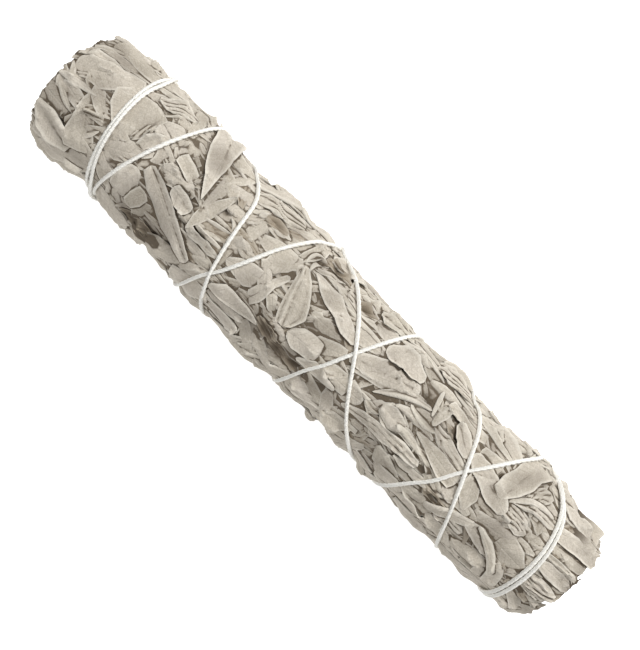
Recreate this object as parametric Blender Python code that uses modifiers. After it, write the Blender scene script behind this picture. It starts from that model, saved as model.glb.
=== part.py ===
# Dried sage bundle, bound with one cotton string
#
# Broad grey-green sage leaves, dried and pressed in layers round seven woody
# stems, make a blunt roll that is sawn square at both ends. One string winds
# along it and back in open turns and is knotted near the tip end.
# Units are metres. +X runs along the bundle to its butt, where the stems show,
# z = 0 is the surface it lies on, and angles count from the top towards +Y.

import math
import random

import bmesh
import bpy
import numpy as np
from mathutils import Matrix, Vector
from mathutils.bvhtree import BVHTree

MM = 0.001

# Driving dimensions
LENGTH = 203 * MM
AXIS_HEIGHT = 20.4 * MM
UNROLLED_RADIUS = 19.5 * MM
GIRTH = [
    (-101.5, 19.9), (-98, 20.8), (-90, 21.5), (-79, 21.0), (-65, 21.6), (-40, 21.4), (-10, 21.3),
    (15, 20.8), (45, 20.9), (60, 20.3), (75, 21.2), (90, 20.5), (97, 19.6), (101.5, 18.7),
]

SWELL = 0.35 * MM
SWELL_SPACING = (9 * MM, 17 * MM)

LEAF_THICKNESS = 0.8 * MM
LEAF_RELIEF = 2.4 * MM
LEAF_STAND_OUT = 0.3 * MM
LEAST_SPREAD = 1 * MM
SCATTERED_LEAVES = 30
ROOT_DEPTH = 3.2 * MM
CORE_DEPTH = 2.9 * MM
CORE_CRUMPLE = 0.4 * MM
CORE_SIDES = 16
CORE_RINGS = 14
FLAT_REACH = 93 * MM
FLAT_OVERCUT = 0.2 * MM
CUT_BELOW = (300 * MM, 100 * MM, 10 * MM)

# Leaf edges in the sawn ends: radius and number of strips of each ring
END_RINGS = [(5.6 * MM, 2), (10.2 * MM, 4), (14.6 * MM, 5)]
END_RECESS = 6 * MM

STRING_DIAMETER = 1.45 * MM
STRING_GROOVE = 1.2 * MM
GROOVE_WIDTH = 3 * MM
STRING_GAP = 0.55 * MM
STRING_STEP = 5 * MM
FLOOR_GAP = 0.3 * MM
KNOT_PLACE = (-85, 112)
KNOT_SIZE = 3.6 * MM
TAILS = [[(-88.5, 108), (-92.5, 104)], [(-88, 118), (-91.5, 124)]]
FINE_STEP = 1 * MM
TAUT_REACH = 4
CROSSING_REACH = 4

STEM_GAP = 0.3 * MM
FLAT_ANGLE = math.radians(1)
STRING_BED = (3 * MM, 29 * MM, 2.5 * MM)

# Leaves that show from above, each from its root to its tip:
# place along in mm, angle in degrees, the same for the tip, and width in mm
PLACED_LEAVES = [
    (-74, 8, -99, 10, 12), (-80, 59, -99, 57, 6), (-78, -48, -95, -36, 9), (-80, 82, -100, 84, 10),
    (-99, 8, -80, 40, 10), (-84, 9, -67, 9, 13), (-76, -52, -90, 8, 10), (-64, 47, -81, 44, 7),
    (-57, 78, -47, 4, 11), (-63, 0, -60, 36, 8), (-51, 0, -63, 0, 8), (-70, -18, -55, -24, 7),
    (-70, -42, -54, -47, 8), (-65, -2, -38, -49, 5), (-52, -14, -36, 4, 9), (-40, 30, -45, -21, 5),
    (-50, 43, -38, 43, 8), (-39, 50, -15, 72, 6), (-27, 45, -11, 45, 7), (-31, 32, -31, 8, 8),
    (-37, -2, -23, -1, 9), (-32, -12, -18, -8, 9), (-16, 14, -21, -22, 4), (-14, 34, -7, -17, 9),
    (-11, 36, 7, 14, 5), (-9, 44, 8, 37, 6), (-31, -44, -12, -37, 7), (-46, -58, -22, -60, 7),
    (-6, -18, 8, -16, 10), (-10, -50, 12, -46, 9), (9, -20, 20, -19, 8), (11, -10, 36, 23, 9),
    (17, 30, 33, 32, 8), (9, 44, 22, 60, 8), (33, 56, 50, 55, 6), (34, 43, 45, 42, 6),
    (38, 42, 41, 14, 5), (43, 24, 58, 0, 8), (31, -8, 57, -9, 10), (22, -25, 47, -16, 6),
    (16, -46, 30, -46, 8), (44, -38, 62, -34, 9), (56, 32, 60, 62, 8), (69, 2, 73, 60, 9),
    (62, -8, 79, -7, 8), (78, -22, 90, -20, 8), (68, -36, 84, -34, 11), (66, -58, 84, -60, 8),
    (84, 26, 101, 36, 12), (86, 0, 101, 2, 10), (87, -22, 101, -18, 9), (86, 62, 100, 60, 10),
]

# Route of the string: place along in mm, angle in degrees
STRING_ROUTE = [
    (-85, -608), (-84.4, -590), (-83.2, -570), (-81.8, -540), (-80.2, -510), (-78.6, -482),
    (-76.9, -450), (-77.5, -410), (-79.8, -360), (-81.5, -315), (-80.9, -270), (-79.9, -225),
    (-78.2, -180), (-76, -135), (-74.4, -92), (-73, -58), (-70.4, -28), (-67.4, 0), (-63.6, 34),
    (-60.4, 70), (-57, 100), (-48, 180), (-39, 268), (-33.9, 315), (-29.5, 338), (-26, 360),
    (-22.5, 385), (-17.5, 413), (-12.5, 438), (-3, 540), (2.2, 635), (5.7, 680), (9, 702), (11.6, 721),
    (16, 750), (22.6, 795), (35, 900), (43.8, 992), (48.4, 1035), (53.2, 1060), (56.5, 1080),
    (61.5, 1102), (66.9, 1126), (72, 1148), (75.2, 1172), (79.5, 1195), (83.7, 1221), (87.4, 1260),
    (90.2, 1305), (91.1, 1350), (90.6, 1395), (89.7, 1440), (87.5, 1476), (83.8, 1500), (79.8, 1530),
    (80.2, 1575), (84.6, 1620), (88, 1665), (89, 1710), (88.4, 1755), (87.7, 1800), (85.5, 1836),
    (81.7, 1860), (77.8, 1884), (75.4, 1912), (74.4, 1960), (73.6, 2025), (71.6, 2068), (65.6, 2113),
    (60.4, 2146), (56.5, 2170), (53.2, 2198), (50, 2218), (46, 2232), (44.6, 2295), (43.4, 2340),
    (41.4, 2390), (37.2, 2425), (31, 2455), (25.3, 2476), (18.9, 2502), (12.6, 2528), (6.2, 2553),
    (0.2, 2572), (-6.5, 2590), (-11.5, 2612), (-18.5, 2700), (-26, 2790), (-32.2, 2858), (-34.4, 2886),
    (-36.8, 2917), (-40.5, 2936), (-44.4, 2952), (-55, 3015), (-67, 3105), (-72.3, 3148), (-75.3, 3190),
    (-77.6, 3232), (-79.5, 3272), (-79.8, 3300), (-81.2, 3325), (-83.5, 3344), (-85, 3352),
]

# Woody stems: place across (y) and up from the axis (z), side, depth from the butt, all in mm, and turn
STEMS = [
    (0.5, 0.8, 4.2, 165, 20), (6.8, 2.2, 3.4, 140, 55), (-6.4, 3.6, 3.6, 150, 5), (2.6, -6.6, 3.2, 120, 40),
    (-5.2, -4.9, 3.8, 135, 70), (1.2, 8.4, 3.0, 110, 30), (9.4, -5.4, 2.8, 95, 15),
]

TURN = 2 * math.pi * UNROLLED_RADIUS
CELL = 1 * MM
COLUMNS = round(TURN / CELL)
MARGIN = 4 * MM
ROWS = round((LENGTH + 2 * MARGIN) / CELL) + 1


def clear_scene():
    for item in list(bpy.data.objects):
        bpy.data.objects.remove(item)


def new_collection(name):
    group = bpy.data.collections.new(name)
    bpy.context.scene.collection.children.link(group)
    return group


def new_material(name, colour, roughness):
    material = bpy.data.materials.new(name)
    material.use_nodes = True
    shader = material.node_tree.nodes["Principled BSDF"]
    shader.inputs["Base Color"].default_value = (*colour, 1)
    shader.inputs["Roughness"].default_value = roughness
    shader.inputs["Metallic"].default_value = 0
    return material


def new_object(name, mesh, group):
    item = bpy.data.objects.new(name, mesh)
    group.objects.link(item)
    return item


def sample(field, x, around):
    """Read a field of the unrolled surface, which closes on itself round the bundle."""
    row = np.clip((x + LENGTH / 2 + MARGIN) / CELL, 0, ROWS - 1.001)
    column = np.asarray(around) / CELL
    row_low = np.floor(row).astype(int)
    column_low = np.floor(column).astype(int)
    up = row - row_low
    along = column - column_low
    left = np.mod(column_low, COLUMNS)
    right = np.mod(column_low + 1, COLUMNS)
    low = field[row_low, left] * (1 - along) + field[row_low, right] * along
    high = field[row_low + 1, left] * (1 - along) + field[row_low + 1, right] * along
    return low * (1 - up) + high * up


def blur(field, reach):
    """Average a field over a few cells each way."""
    padded = np.pad(field, ((reach, reach), (0, 0)), mode="edge")
    rows = sum(padded[i:i + ROWS] for i in range(2 * reach + 1)) / (2 * reach + 1)
    return sum(np.roll(rows, i, axis=1) for i in range(-reach, reach + 1)) / (2 * reach + 1)


def highest_near(field, reach):
    """Largest value of a field within a few cells each way."""
    padded = np.pad(field, ((reach, reach), (0, 0)), mode="edge")
    rows = np.max([padded[i:i + ROWS] for i in range(2 * reach + 1)], axis=0)
    return np.max([np.roll(rows, i, axis=1) for i in range(-reach, reach + 1)], axis=0)


def smooth_route(points, step):
    """Even steps along a smooth curve through (place in mm, angle in degrees) points."""
    knots = np.array([(x * MM, math.radians(angle) * UNROLLED_RADIUS) for x, angle in points])
    knots = np.vstack([2 * knots[0] - knots[1], knots, 2 * knots[-1] - knots[-2]])
    curve = []
    for before, start, end, after in zip(knots, knots[1:], knots[2:], knots[3:]):
        for t in np.linspace(0, 1, 20, endpoint=False):
            curve.append(0.5 * (2 * start + (end - before) * t
                                + (2 * before - 5 * start + 4 * end - after) * t**2
                                + (3 * start - before - 3 * end + after) * t**3))
    curve.append(knots[-2])
    curve = np.array(curve)
    run = np.concatenate([[0], np.cumsum(np.linalg.norm(np.diff(curve, axis=0), axis=1))])
    marks = np.linspace(0, run[-1], round(run[-1] / step) + 1)
    return np.column_stack([np.interp(marks, run, curve[:, axis]) for axis in (0, 1)])


def distance_to_string(route):
    """Distance from every cell of the unrolled surface to the string."""
    x = np.arange(ROWS)[:, None] * CELL - LENGTH / 2 - MARGIN
    around = np.arange(COLUMNS)[None, :] * CELL
    nearest = np.full((ROWS, COLUMNS), 1.0)
    for place, turned in route:
        apart = np.mod(around - turned + TURN / 2, TURN) - TURN / 2
        nearest = np.minimum(nearest, np.hypot(x - place, apart))
    return nearest


def finished_radius(route):
    """Radius of the bundle's outer face: its girth, drawn in by the string, flat below."""
    x = np.arange(ROWS)[:, None] * CELL - LENGTH / 2 - MARGIN
    angle = np.arange(COLUMNS)[None, :] * CELL / UNROLLED_RADIUS
    places, radii = np.array(GIRTH).T * MM
    short, long = SWELL_SPACING
    swell = SWELL * np.sin(x / short + 2 * np.sin(angle)) * np.sin(2 * angle + x / long)
    radius = np.interp(x, places, radii) + swell
    near = distance_to_string(route)
    radius = radius - STRING_GROOVE * np.exp(-(near / GROOVE_WIDTH) ** 2)
    downward = np.maximum(-np.cos(angle), 0.3)
    room = (AXIS_HEIGHT - STRING_DIAMETER - 2 * STRING_GAP) / downward
    under_string = near < GROOVE_WIDTH
    radius = np.where(under_string & (downward > 0.5), np.minimum(radius, room), radius)
    return blur(radius, 1)


def in_space(x, around, radius):
    """Wrap points of the unrolled surface back round the bundle's axis."""
    angle = np.asarray(around) / UNROLLED_RADIUS
    return np.stack([x + 0 * radius, radius * np.sin(angle), AXIS_HEIGHT + radius * np.cos(angle)], axis=-1)


def scattered_leaves(rng):
    """Leaves for both sides, more or less along the bundle."""
    leaves = []
    for index in range(SCATTERED_LEAVES):
        x = -93 + 186 * ((index // 2 * 0.618) % 1)
        angle = (1 if index % 2 else -1) * rng.uniform(64, 142)
        length = rng.uniform(27, 38)
        heading = rng.gauss(0, 0.5) + (0 if rng.random() < 0.5 else math.pi)
        reach = length / 2 * math.cos(heading)
        turn = math.degrees(length / 2 * math.sin(heading) * MM / UNROLLED_RADIUS)
        leaves.append((x - reach, angle - turn, x + reach, angle + turn, rng.uniform(11, 15)))
    return leaves


class Leaf:
    """One pressed leaf on the unrolled surface, broad in its middle and pointed at its tip."""

    def __init__(self, root_x, root_angle, tip_x, tip_angle, width, rng):
        self.root = np.array([root_x * MM, math.radians(root_angle) * UNROLLED_RADIUS])
        tip = np.array([tip_x * MM, math.radians(tip_angle) * UNROLLED_RADIUS])
        self.run = tip - self.root
        self.length = np.linalg.norm(self.run)
        self.width = width * MM
        self.waves = [rng.uniform(0, 2 * math.pi) for _ in range(4)]
        self.fold = rng.uniform(-0.5, 0.7) * MM
        self.height = None

    def place(self, t, q):
        """Place of the point at t from root to tip and q from edge to edge."""
        limb = np.sin(math.pi * (0.14 + 0.82 * t)) ** 0.75
        ragged = 1 + 0.16 * np.sin(7 * t + self.waves[0] + 2 * np.sign(q))
        side = q * self.width / 2 * limb * ragged
        ahead = self.run / self.length
        across = np.array([-ahead[1], ahead[0]])
        flat = self.root + t[..., None] * self.run + side[..., None] * across
        limit = LENGTH / 2 - 0.4 * MM * (1 + np.sin(self.waves[1] + 9 * q))
        return np.clip(flat[..., 0], -limit, limit), flat[..., 1]

    def relief(self, t, q):
        """Waves, a fold along the midrib and lifted margins."""
        wave = 0.35 * MM * np.sin(8 * t + self.waves[2] + 1.5 * q)
        margin = 0.25 * MM * q * q * np.sin(5 * t + self.waves[3])
        return wave + margin + self.fold * (1 - np.abs(q)) * np.sin(math.pi * t)


def lay_leaves(leaves):
    """Lay the leaves one over another and return the height of the heap everywhere."""
    heap = np.zeros((ROWS, COLUMNS))
    t, q = np.meshgrid(np.linspace(0, 1, 24), np.linspace(-1, 1, 14), indexing="ij")
    for leaf in leaves:
        x, around = leaf.place(t, q)
        under = sample(heap, x, around)
        leaf.height = 0.4 * under.mean() + 0.6 * np.percentile(under, 80) + LEAF_THICKNESS
        rows = np.round((x + LENGTH / 2 + MARGIN) / CELL).astype(int)
        columns = np.mod(np.round(around / CELL).astype(int), COLUMNS)
        np.maximum.at(heap, (rows, columns), leaf.height + leaf.relief(t, q))
    return heap


def leaf_piece(leaf, number, surface, crest, group):
    """A blade with its root sunk in the core, waved and of an even thickness."""
    rows = 4 if leaf.length > 17 * MM else 3
    columns = 2 if leaf.width > 7.5 * MM else 1
    bm = bmesh.new()
    bmesh.ops.create_grid(bm, x_segments=rows, y_segments=columns, size=0.5)
    bmesh.ops.triangulate(bm, faces=bm.faces, quad_method="FIXED")
    t = np.array([vert.co.x + 0.5 for vert in bm.verts])
    q = np.array([vert.co.y * 2 for vert in bm.verts])
    x, around = leaf.place(t, q)
    height = leaf.height + leaf.relief(t, q)
    below_crest = np.maximum(sample(crest, x, around) - height, -LEAF_STAND_OUT)
    spread = max(crest.max() / 2, LEAST_SPREAD)
    radius = sample(surface, x, around) - LEAF_RELIEF * below_crest / spread
    radius = radius - ROOT_DEPTH * np.clip(1 - t / 0.2, 0, 1)
    for vert, point in zip(bm.verts, in_space(x, around, radius)):
        vert.co = Vector(point)
    mesh = bpy.data.meshes.new(f"leaf_{number}")
    bm.to_mesh(mesh)
    bm.free()
    piece = new_object(mesh.name, mesh, group)
    thicken(piece, LEAF_THICKNESS)


def thicken(piece, thickness):
    solid = piece.modifiers.new("thickness", "SOLIDIFY")
    solid.thickness = thickness
    solid.offset = 0
    solid.use_even_offset = False


def end_strips(side, rng, group):
    """Cut edges of the inner leaves, which stand in each sawn end as short curled ribbons."""
    for ring, (radius, pieces) in enumerate(END_RINGS):
        for piece in range(pieces):
            bm = bmesh.new()
            bmesh.ops.create_grid(bm, x_segments=3, y_segments=1, size=0.5)
            bmesh.ops.triangulate(bm, faces=bm.faces, quad_method="FIXED")
            start = 2 * math.pi * (piece + rng.uniform(-0.2, 0.2)) / pieces
            arc = 2 * math.pi / pieces * rng.uniform(0.75, 0.95)
            drift = rng.uniform(-1, 1) * 2.6 * MM
            phase = rng.uniform(0, 6)
            short = rng.uniform(0.3, 1.6) * MM
            for vert in bm.verts:
                along = vert.co.x + 0.5
                outward = radius + drift * (along - 0.5) + 0.7 * MM * math.sin(6 * along + phase)
                turned = start + arc * along
                top = LENGTH / 2 - short - 0.5 * MM * math.sin(5 * along + phase)
                depth = top if vert.co.y > 0 else LENGTH / 2 - END_RECESS - 2 * MM
                y = outward * math.sin(turned)
                z = AXIS_HEIGHT + outward * math.cos(turned)
                vert.co = Vector((side * depth, y, z))
            mesh = bpy.data.meshes.new(f"end_strip_{ring}_{piece}")
            bm.to_mesh(mesh)
            bm.free()
            thicken(new_object(mesh.name, mesh, group), LEAF_THICKNESS)


def core_piece(surface, group):
    """The packed inner leaves: a crumpled roll a little under the outer leaves, flat below."""
    bm = bmesh.new()
    half_side = math.pi / CORE_SIDES
    lie_flat = Matrix.Rotation(half_side, 4, "X") @ Matrix.Rotation(math.pi / 2, 4, "Y")
    bmesh.ops.create_cone(bm, cap_ends=True, segments=CORE_SIDES, radius1=1, radius2=1, depth=1,
                          matrix=lie_flat)
    walls = [edge for edge in bm.edges if abs(edge.verts[0].co.x - edge.verts[1].co.x) > 0.5]
    bmesh.ops.subdivide_edges(bm, edges=walls, cuts=CORE_RINGS - 1, use_grid_fill=True)
    half = LENGTH / 2 - END_RECESS
    rng = random.Random("crumple")
    for vert in bm.verts:
        x = vert.co.x * 2 * half
        angle = math.atan2(vert.co.y, vert.co.z)
        depth = CORE_DEPTH + rng.uniform(-1, 1) * CORE_CRUMPLE
        radius = float(sample(surface, x, angle * UNROLLED_RADIUS)) - depth
        downward = -math.cos(angle)
        if downward > math.cos(2 * half_side) and abs(x) < FLAT_REACH:
            radius = (AXIS_HEIGHT + FLAT_OVERCUT) / downward
        vert.co = Vector((x, radius * math.sin(angle), AXIS_HEIGHT + radius * math.cos(angle)))
    bmesh.ops.triangulate(bm, faces=bm.faces)
    mesh = bpy.data.meshes.new("core")
    bm.to_mesh(mesh)
    bm.free()
    return new_object("core", mesh, group)


def box(name, centre, size, group):
    bpy.ops.mesh.primitive_cube_add(size=1, location=centre)
    item = bpy.context.object
    item.name = name
    item.data.transform(Matrix.Diagonal((*size, 1)))
    for old in list(item.users_collection):
        old.objects.unlink(item)
    group.objects.link(item)
    item.hide_render = True
    item.display_type = "WIRE"
    return item


def stem_shape(number, grow, group):
    """A square stem, a little thinner inside, lying along the bundle from its butt."""
    y, z, side, depth, turn = STEMS[number]
    reach = (depth + grow * 1000) * MM
    start = LENGTH / 2 - 0.6 * MM + (3 * MM if grow else 0)
    end = LENGTH / 2 - 0.6 * MM - reach
    corner = (side * MM + 2 * grow) / math.sqrt(2)
    bpy.ops.mesh.primitive_cone_add(vertices=4, radius1=corner * (1 if grow else 0.8), radius2=corner,
                                    depth=start - end)
    item = bpy.context.object
    item.name = f"stem_{number + 1:02d}" + ("_hole" if grow else "")
    item.data.transform(Matrix.Rotation(math.radians(turn), 4, "Z"))
    item.data.transform(Matrix.Rotation(math.pi / 2, 4, "Y"))
    item.location = ((start + end) / 2, y * MM, AXIS_HEIGHT + z * MM)
    for old in list(item.users_collection):
        old.objects.unlink(item)
    group.objects.link(item)
    return item


def combine(target, group, operation, solver="EXACT"):
    """Join a collection to the target, or cut it away, and apply the result."""
    change = target.modifiers.new(operation.lower(), "BOOLEAN")
    change.operation = operation
    change.operand_type = "COLLECTION"
    change.collection = group
    change.solver = solver
    bpy.context.view_layer.update()
    depsgraph = bpy.context.evaluated_depsgraph_get()
    mesh = bpy.data.meshes.new_from_object(target.evaluated_get(depsgraph))
    target.modifiers.clear()
    target.data = mesh
    for piece in list(group.objects):
        bpy.data.objects.remove(piece)


def keep_outer_body(target):
    """Drop sealed hollows and loose scraps that a Boolean leaves, and join its flat faces."""
    bm = bmesh.new()
    bm.from_mesh(target.data)
    left = set(bm.verts)
    bodies = []
    while left:
        body = {left.pop()}
        rim = list(body)
        while rim:
            vert = rim.pop()
            for edge in vert.link_edges:
                other = edge.other_vert(vert)
                if other in left:
                    left.remove(other)
                    body.add(other)
                    rim.append(other)
        bodies.append(body)
    largest = max(bodies, key=len)
    for body in bodies:
        if body is not largest:
            bmesh.ops.delete(bm, geom=list(body), context="VERTS")
    bmesh.ops.dissolve_limit(bm, angle_limit=FLAT_ANGLE, verts=bm.verts, edges=bm.edges)
    bmesh.ops.triangulate(bm, faces=bm.faces)
    bm.to_mesh(target.data)
    bm.free()


def resting_radius(route, tree):
    """Radius of the leaves under each point of a route, over the string's own width."""
    half = STRING_DIAMETER / 2
    rest = []
    for x, around in route:
        found = 0.0
        for step in range(13):
            turned = half * math.cos(step * math.pi / 6) if step else 0
            aside = half * math.sin(step * math.pi / 6)
            angle = (around + turned) / UNROLLED_RADIUS
            outward = Vector((0, math.sin(angle), math.cos(angle)))
            axis = Vector((x + aside, 0, AXIS_HEIGHT))
            hit = tree.ray_cast(axis + outward * 2 * AXIS_HEIGHT, -outward)[0]
            if hit is not None:
                found = max(found, (hit - axis).length)
        rest.append(found)
    return np.array(rest)


def running(values, reach, rule):
    """Mean or largest value over a few steps each way along the string."""
    padded = np.pad(values, reach, mode="edge")
    return rule([padded[i:i + len(values)] for i in range(2 * reach + 1)], axis=0)


def string_line(points, tree):
    """Middle of a string laid along a route: taut over the leaves and over its own earlier turns."""
    route = smooth_route(points, FINE_STEP)
    rest = resting_radius(route, tree)
    radius = rest
    for _ in range(5):
        radius = np.maximum(rest, running(radius, TAUT_REACH, np.mean))
    radius = running(radius, 3, np.max) + STRING_DIAMETER / 2 + STRING_GAP
    apart = STRING_DIAMETER + STRING_GAP
    lifted = radius.copy()
    for i in range(len(route)):
        earlier = slice(0, max(0, i - 6 * CROSSING_REACH))
        along = route[earlier, 0] - route[i, 0]
        turned = np.mod(route[earlier, 1] - route[i, 1] + TURN / 2, TURN) - TURN / 2
        distance = np.hypot(along, turned)
        close = distance < apart
        if close.any():
            need = lifted[earlier][close] + np.sqrt(apart**2 - distance[close] ** 2)
            lifted[i] = max(lifted[i], need.max())
    lift = running(running(lifted - radius, CROSSING_REACH, np.max), 2, np.mean)
    downward = np.maximum(-np.cos(route[:, 1] / UNROLLED_RADIUS), 0.1)
    room = (AXIS_HEIGHT - STRING_DIAMETER / 2 - FLOOR_GAP) / downward
    return route, np.minimum(radius + lift, room)


def string_tube(name, points, group):
    """A round string as a curve with filled caps, made a mesh."""
    curve = bpy.data.curves.new(name, "CURVE")
    curve.dimensions = "3D"
    curve.bevel_depth = STRING_DIAMETER / 2
    curve.bevel_resolution = 2
    curve.use_fill_caps = True
    spline = curve.splines.new("POLY")
    spline.points.add(len(points) - 1)
    for target, point in zip(spline.points, points):
        target.co = (*point, 1)
    guide = new_object(name + "_guide", curve, group)
    bpy.context.view_layer.update()
    depsgraph = bpy.context.evaluated_depsgraph_get()
    mesh = bpy.data.meshes.new_from_object(guide.evaluated_get(depsgraph))
    bpy.data.objects.remove(guide)
    bm = bmesh.new()
    bm.from_mesh(mesh)
    bmesh.ops.remove_doubles(bm, verts=bm.verts, dist=0.00001)
    bm.to_mesh(mesh)
    bm.free()
    mesh.name = name
    return new_object(name, mesh, group)


def thinned(line, every):
    keep = list(range(0, len(line), every))
    if keep[-1] != len(line) - 1:
        keep.append(len(line) - 1)
    return line[keep]


def build_string(bundle, group, pieces):
    """One string, wound along the bundle and back, with a knot and two trimmed tails."""
    tree = BVHTree.FromObject(bundle, bpy.context.evaluated_depsgraph_get())
    route, radius = string_line(STRING_ROUTE, tree)
    line = in_space(route[:, 0], route[:, 1], radius)
    knot = in_space(KNOT_PLACE[0] * MM, math.radians(KNOT_PLACE[1]) * UNROLLED_RADIUS,
                    np.array(max(radius[0], radius[-1])))
    line[0] = knot
    line[-1] = knot
    string = string_tube("binding_string", thinned(line, round(STRING_STEP / FINE_STEP)), group)
    for number, tail_points in enumerate(TAILS):
        tail_route, tail_radius = string_line([KNOT_PLACE] + tail_points, tree)
        tail = in_space(tail_route[:, 0], tail_route[:, 1], tail_radius)
        tail[0] = knot
        string_tube(f"tail_{number}", thinned(tail, 3), pieces)
    bm = bmesh.new()
    bmesh.ops.create_icosphere(bm, subdivisions=2, radius=KNOT_SIZE / 2)
    bmesh.ops.translate(bm, verts=bm.verts, vec=Vector(knot))
    mesh = bpy.data.meshes.new("knot")
    bm.to_mesh(mesh)
    bm.free()
    new_object("knot", mesh, pieces)
    combine(string, pieces, "UNION")
    keep_outer_body(string)
    return string


def string_beds(route, cutters):
    """Straight grooves across the flat underside, which keep the string off the surface below."""
    angle = np.degrees(route[:, 1]) / UNROLLED_RADIUS
    half_turns = np.floor((angle - 180) / 360)
    width, length, depth = STRING_BED
    for index in np.flatnonzero(np.diff(half_turns)):
        ahead = route[index + 1] - route[index]
        bed = box(f"bed_{index}", (0, 0, 0), (width, length, 2 * depth), cutters)
        bed.rotation_euler.z = math.atan2(ahead[0], ahead[1])
        bed.location = (route[index][0], 0, 0)


def build_leaf_bundle(group, pieces, cutters):
    """Core, outer leaves and the leaf edges in both ends, joined and then cut flat and bored."""
    surface = finished_radius(smooth_route(STRING_ROUTE, CELL))
    rng = random.Random("sage")
    leaves = [Leaf(*place, rng) for place in scattered_leaves(rng) + PLACED_LEAVES]
    heap = lay_leaves(leaves)
    crest = blur(highest_near(heap, 4), 3)
    for number, leaf in enumerate(leaves):
        leaf_piece(leaf, number, surface, crest, pieces)
    for side in (-1, 1):
        end_strips(side, rng, pieces)
    bundle = core_piece(surface, group)
    bundle.name = "leaf_bundle"
    combine(bundle, pieces, "UNION", "MANIFOLD")
    keep_outer_body(bundle)
    box("under_surface", (0, 0, -CUT_BELOW[2] / 2), CUT_BELOW, cutters)
    string_beds(smooth_route(STRING_ROUTE, FINE_STEP), cutters)
    for number in range(len(STEMS)):
        stem_shape(number, STEM_GAP, cutters)
    combine(bundle, cutters, "DIFFERENCE", "MANIFOLD")
    keep_outer_body(bundle)
    return bundle


def main():
    clear_scene()
    parts = new_collection("sage_bunch")
    pieces = new_collection("leaf_pieces")
    cutters = new_collection("cutters")
    bundle = build_leaf_bundle(parts, pieces, cutters)
    bundle.data.materials.append(new_material("dried_leaf", (0.46, 0.42, 0.34), 0.85))
    string = build_string(bundle, parts, pieces)
    string.data.materials.append(new_material("cotton_string", (0.78, 0.76, 0.7), 0.9))
    string.data.shade_smooth()
    string.data.set_sharp_from_angle(angle=math.radians(50))
    wood = new_material("dried_stem", (0.38, 0.29, 0.19), 0.8)
    for number in range(len(STEMS)):
        stem_shape(number, 0, parts).data.materials.append(wood)


main()
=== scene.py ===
# Dried sage bundle, bound with one cotton string
#
# The bundle lies along X with its butt, where the stems show, at +X. Sizes in the
# sections are in millimetres unless a name says otherwise, and angles are in degrees,
# counted round the bundle from its top towards +Y.

import math
import random

import bpy
import numpy as np
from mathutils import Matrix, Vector


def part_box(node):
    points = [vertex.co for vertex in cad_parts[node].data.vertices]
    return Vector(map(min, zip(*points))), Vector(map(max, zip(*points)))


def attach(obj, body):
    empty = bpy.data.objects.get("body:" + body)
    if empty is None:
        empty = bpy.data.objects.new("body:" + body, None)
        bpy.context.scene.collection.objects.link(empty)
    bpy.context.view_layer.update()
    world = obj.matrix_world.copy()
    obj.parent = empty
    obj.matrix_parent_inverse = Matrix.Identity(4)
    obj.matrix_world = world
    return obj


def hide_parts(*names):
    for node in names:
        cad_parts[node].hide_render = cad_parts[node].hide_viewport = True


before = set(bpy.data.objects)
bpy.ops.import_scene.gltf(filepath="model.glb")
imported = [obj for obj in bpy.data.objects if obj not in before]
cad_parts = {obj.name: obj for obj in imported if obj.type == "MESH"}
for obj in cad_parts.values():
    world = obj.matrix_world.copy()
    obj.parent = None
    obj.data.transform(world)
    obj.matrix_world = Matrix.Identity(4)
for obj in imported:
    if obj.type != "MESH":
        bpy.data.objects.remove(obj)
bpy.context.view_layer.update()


# Woody stems
# The sage grew on these square stems. They are dry, pale brown wood with a soft pith and
# shallow grooves along their sides. They lie packed inside the leaves and end in the sawn butt.

MM = 0.001
STEM_SQUARES = [(4.2, 20), (3.4, 55), (3.6, 5), (3.2, 40), (3.8, 70), (3.0, 30), (2.8, 15)]
STEM_CORNER = 5
STEM_FLUTE = 0.09
STEM_SIDES = 32
STEM_STEP = 2.5
STEM_THIN_END = 0.8
STEM_BEND = 0.12
STEM_BEND_LENGTH = 17
STEM_ROUGHNESS = 0.02
STEM_SAW_MARKS = 0.15
WOOD_BROWN = (0.2, 0.13, 0.07, 1)
WOOD_PALE = (0.5, 0.39, 0.26, 1)
WOOD_GREY = (0.36, 0.31, 0.22, 1)
PITH_CREAM = (0.66, 0.58, 0.44, 1)
PITH_SHARE = 0.3
PITH_DEPTH = 0.5
GRAIN_STRETCH = 14
SHARP_EDGE = 55


class Shade:
    """A number in a material. Python's operators on it add the Math nodes."""

    def __init__(self, socket):
        self.socket = socket

    def work(self, operation, first, second):
        tree = self.socket.id_data
        made = tree.nodes.new("ShaderNodeMath")
        made.operation = operation
        for slot, value in zip(made.inputs, (first, second)):
            if isinstance(value, Shade):
                tree.links.new(value.socket, slot)
            else:
                slot.default_value = value
        return Shade(made.outputs[0])

    def __add__(self, other):
        return self.work("ADD", self, other)

    def __radd__(self, other):
        return self.work("ADD", other, self)

    def __sub__(self, other):
        return self.work("SUBTRACT", self, other)

    def __rsub__(self, other):
        return self.work("SUBTRACT", other, self)

    def __mul__(self, other):
        return self.work("MULTIPLY", self, other)

    def __rmul__(self, other):
        return self.work("MULTIPLY", other, self)


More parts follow.
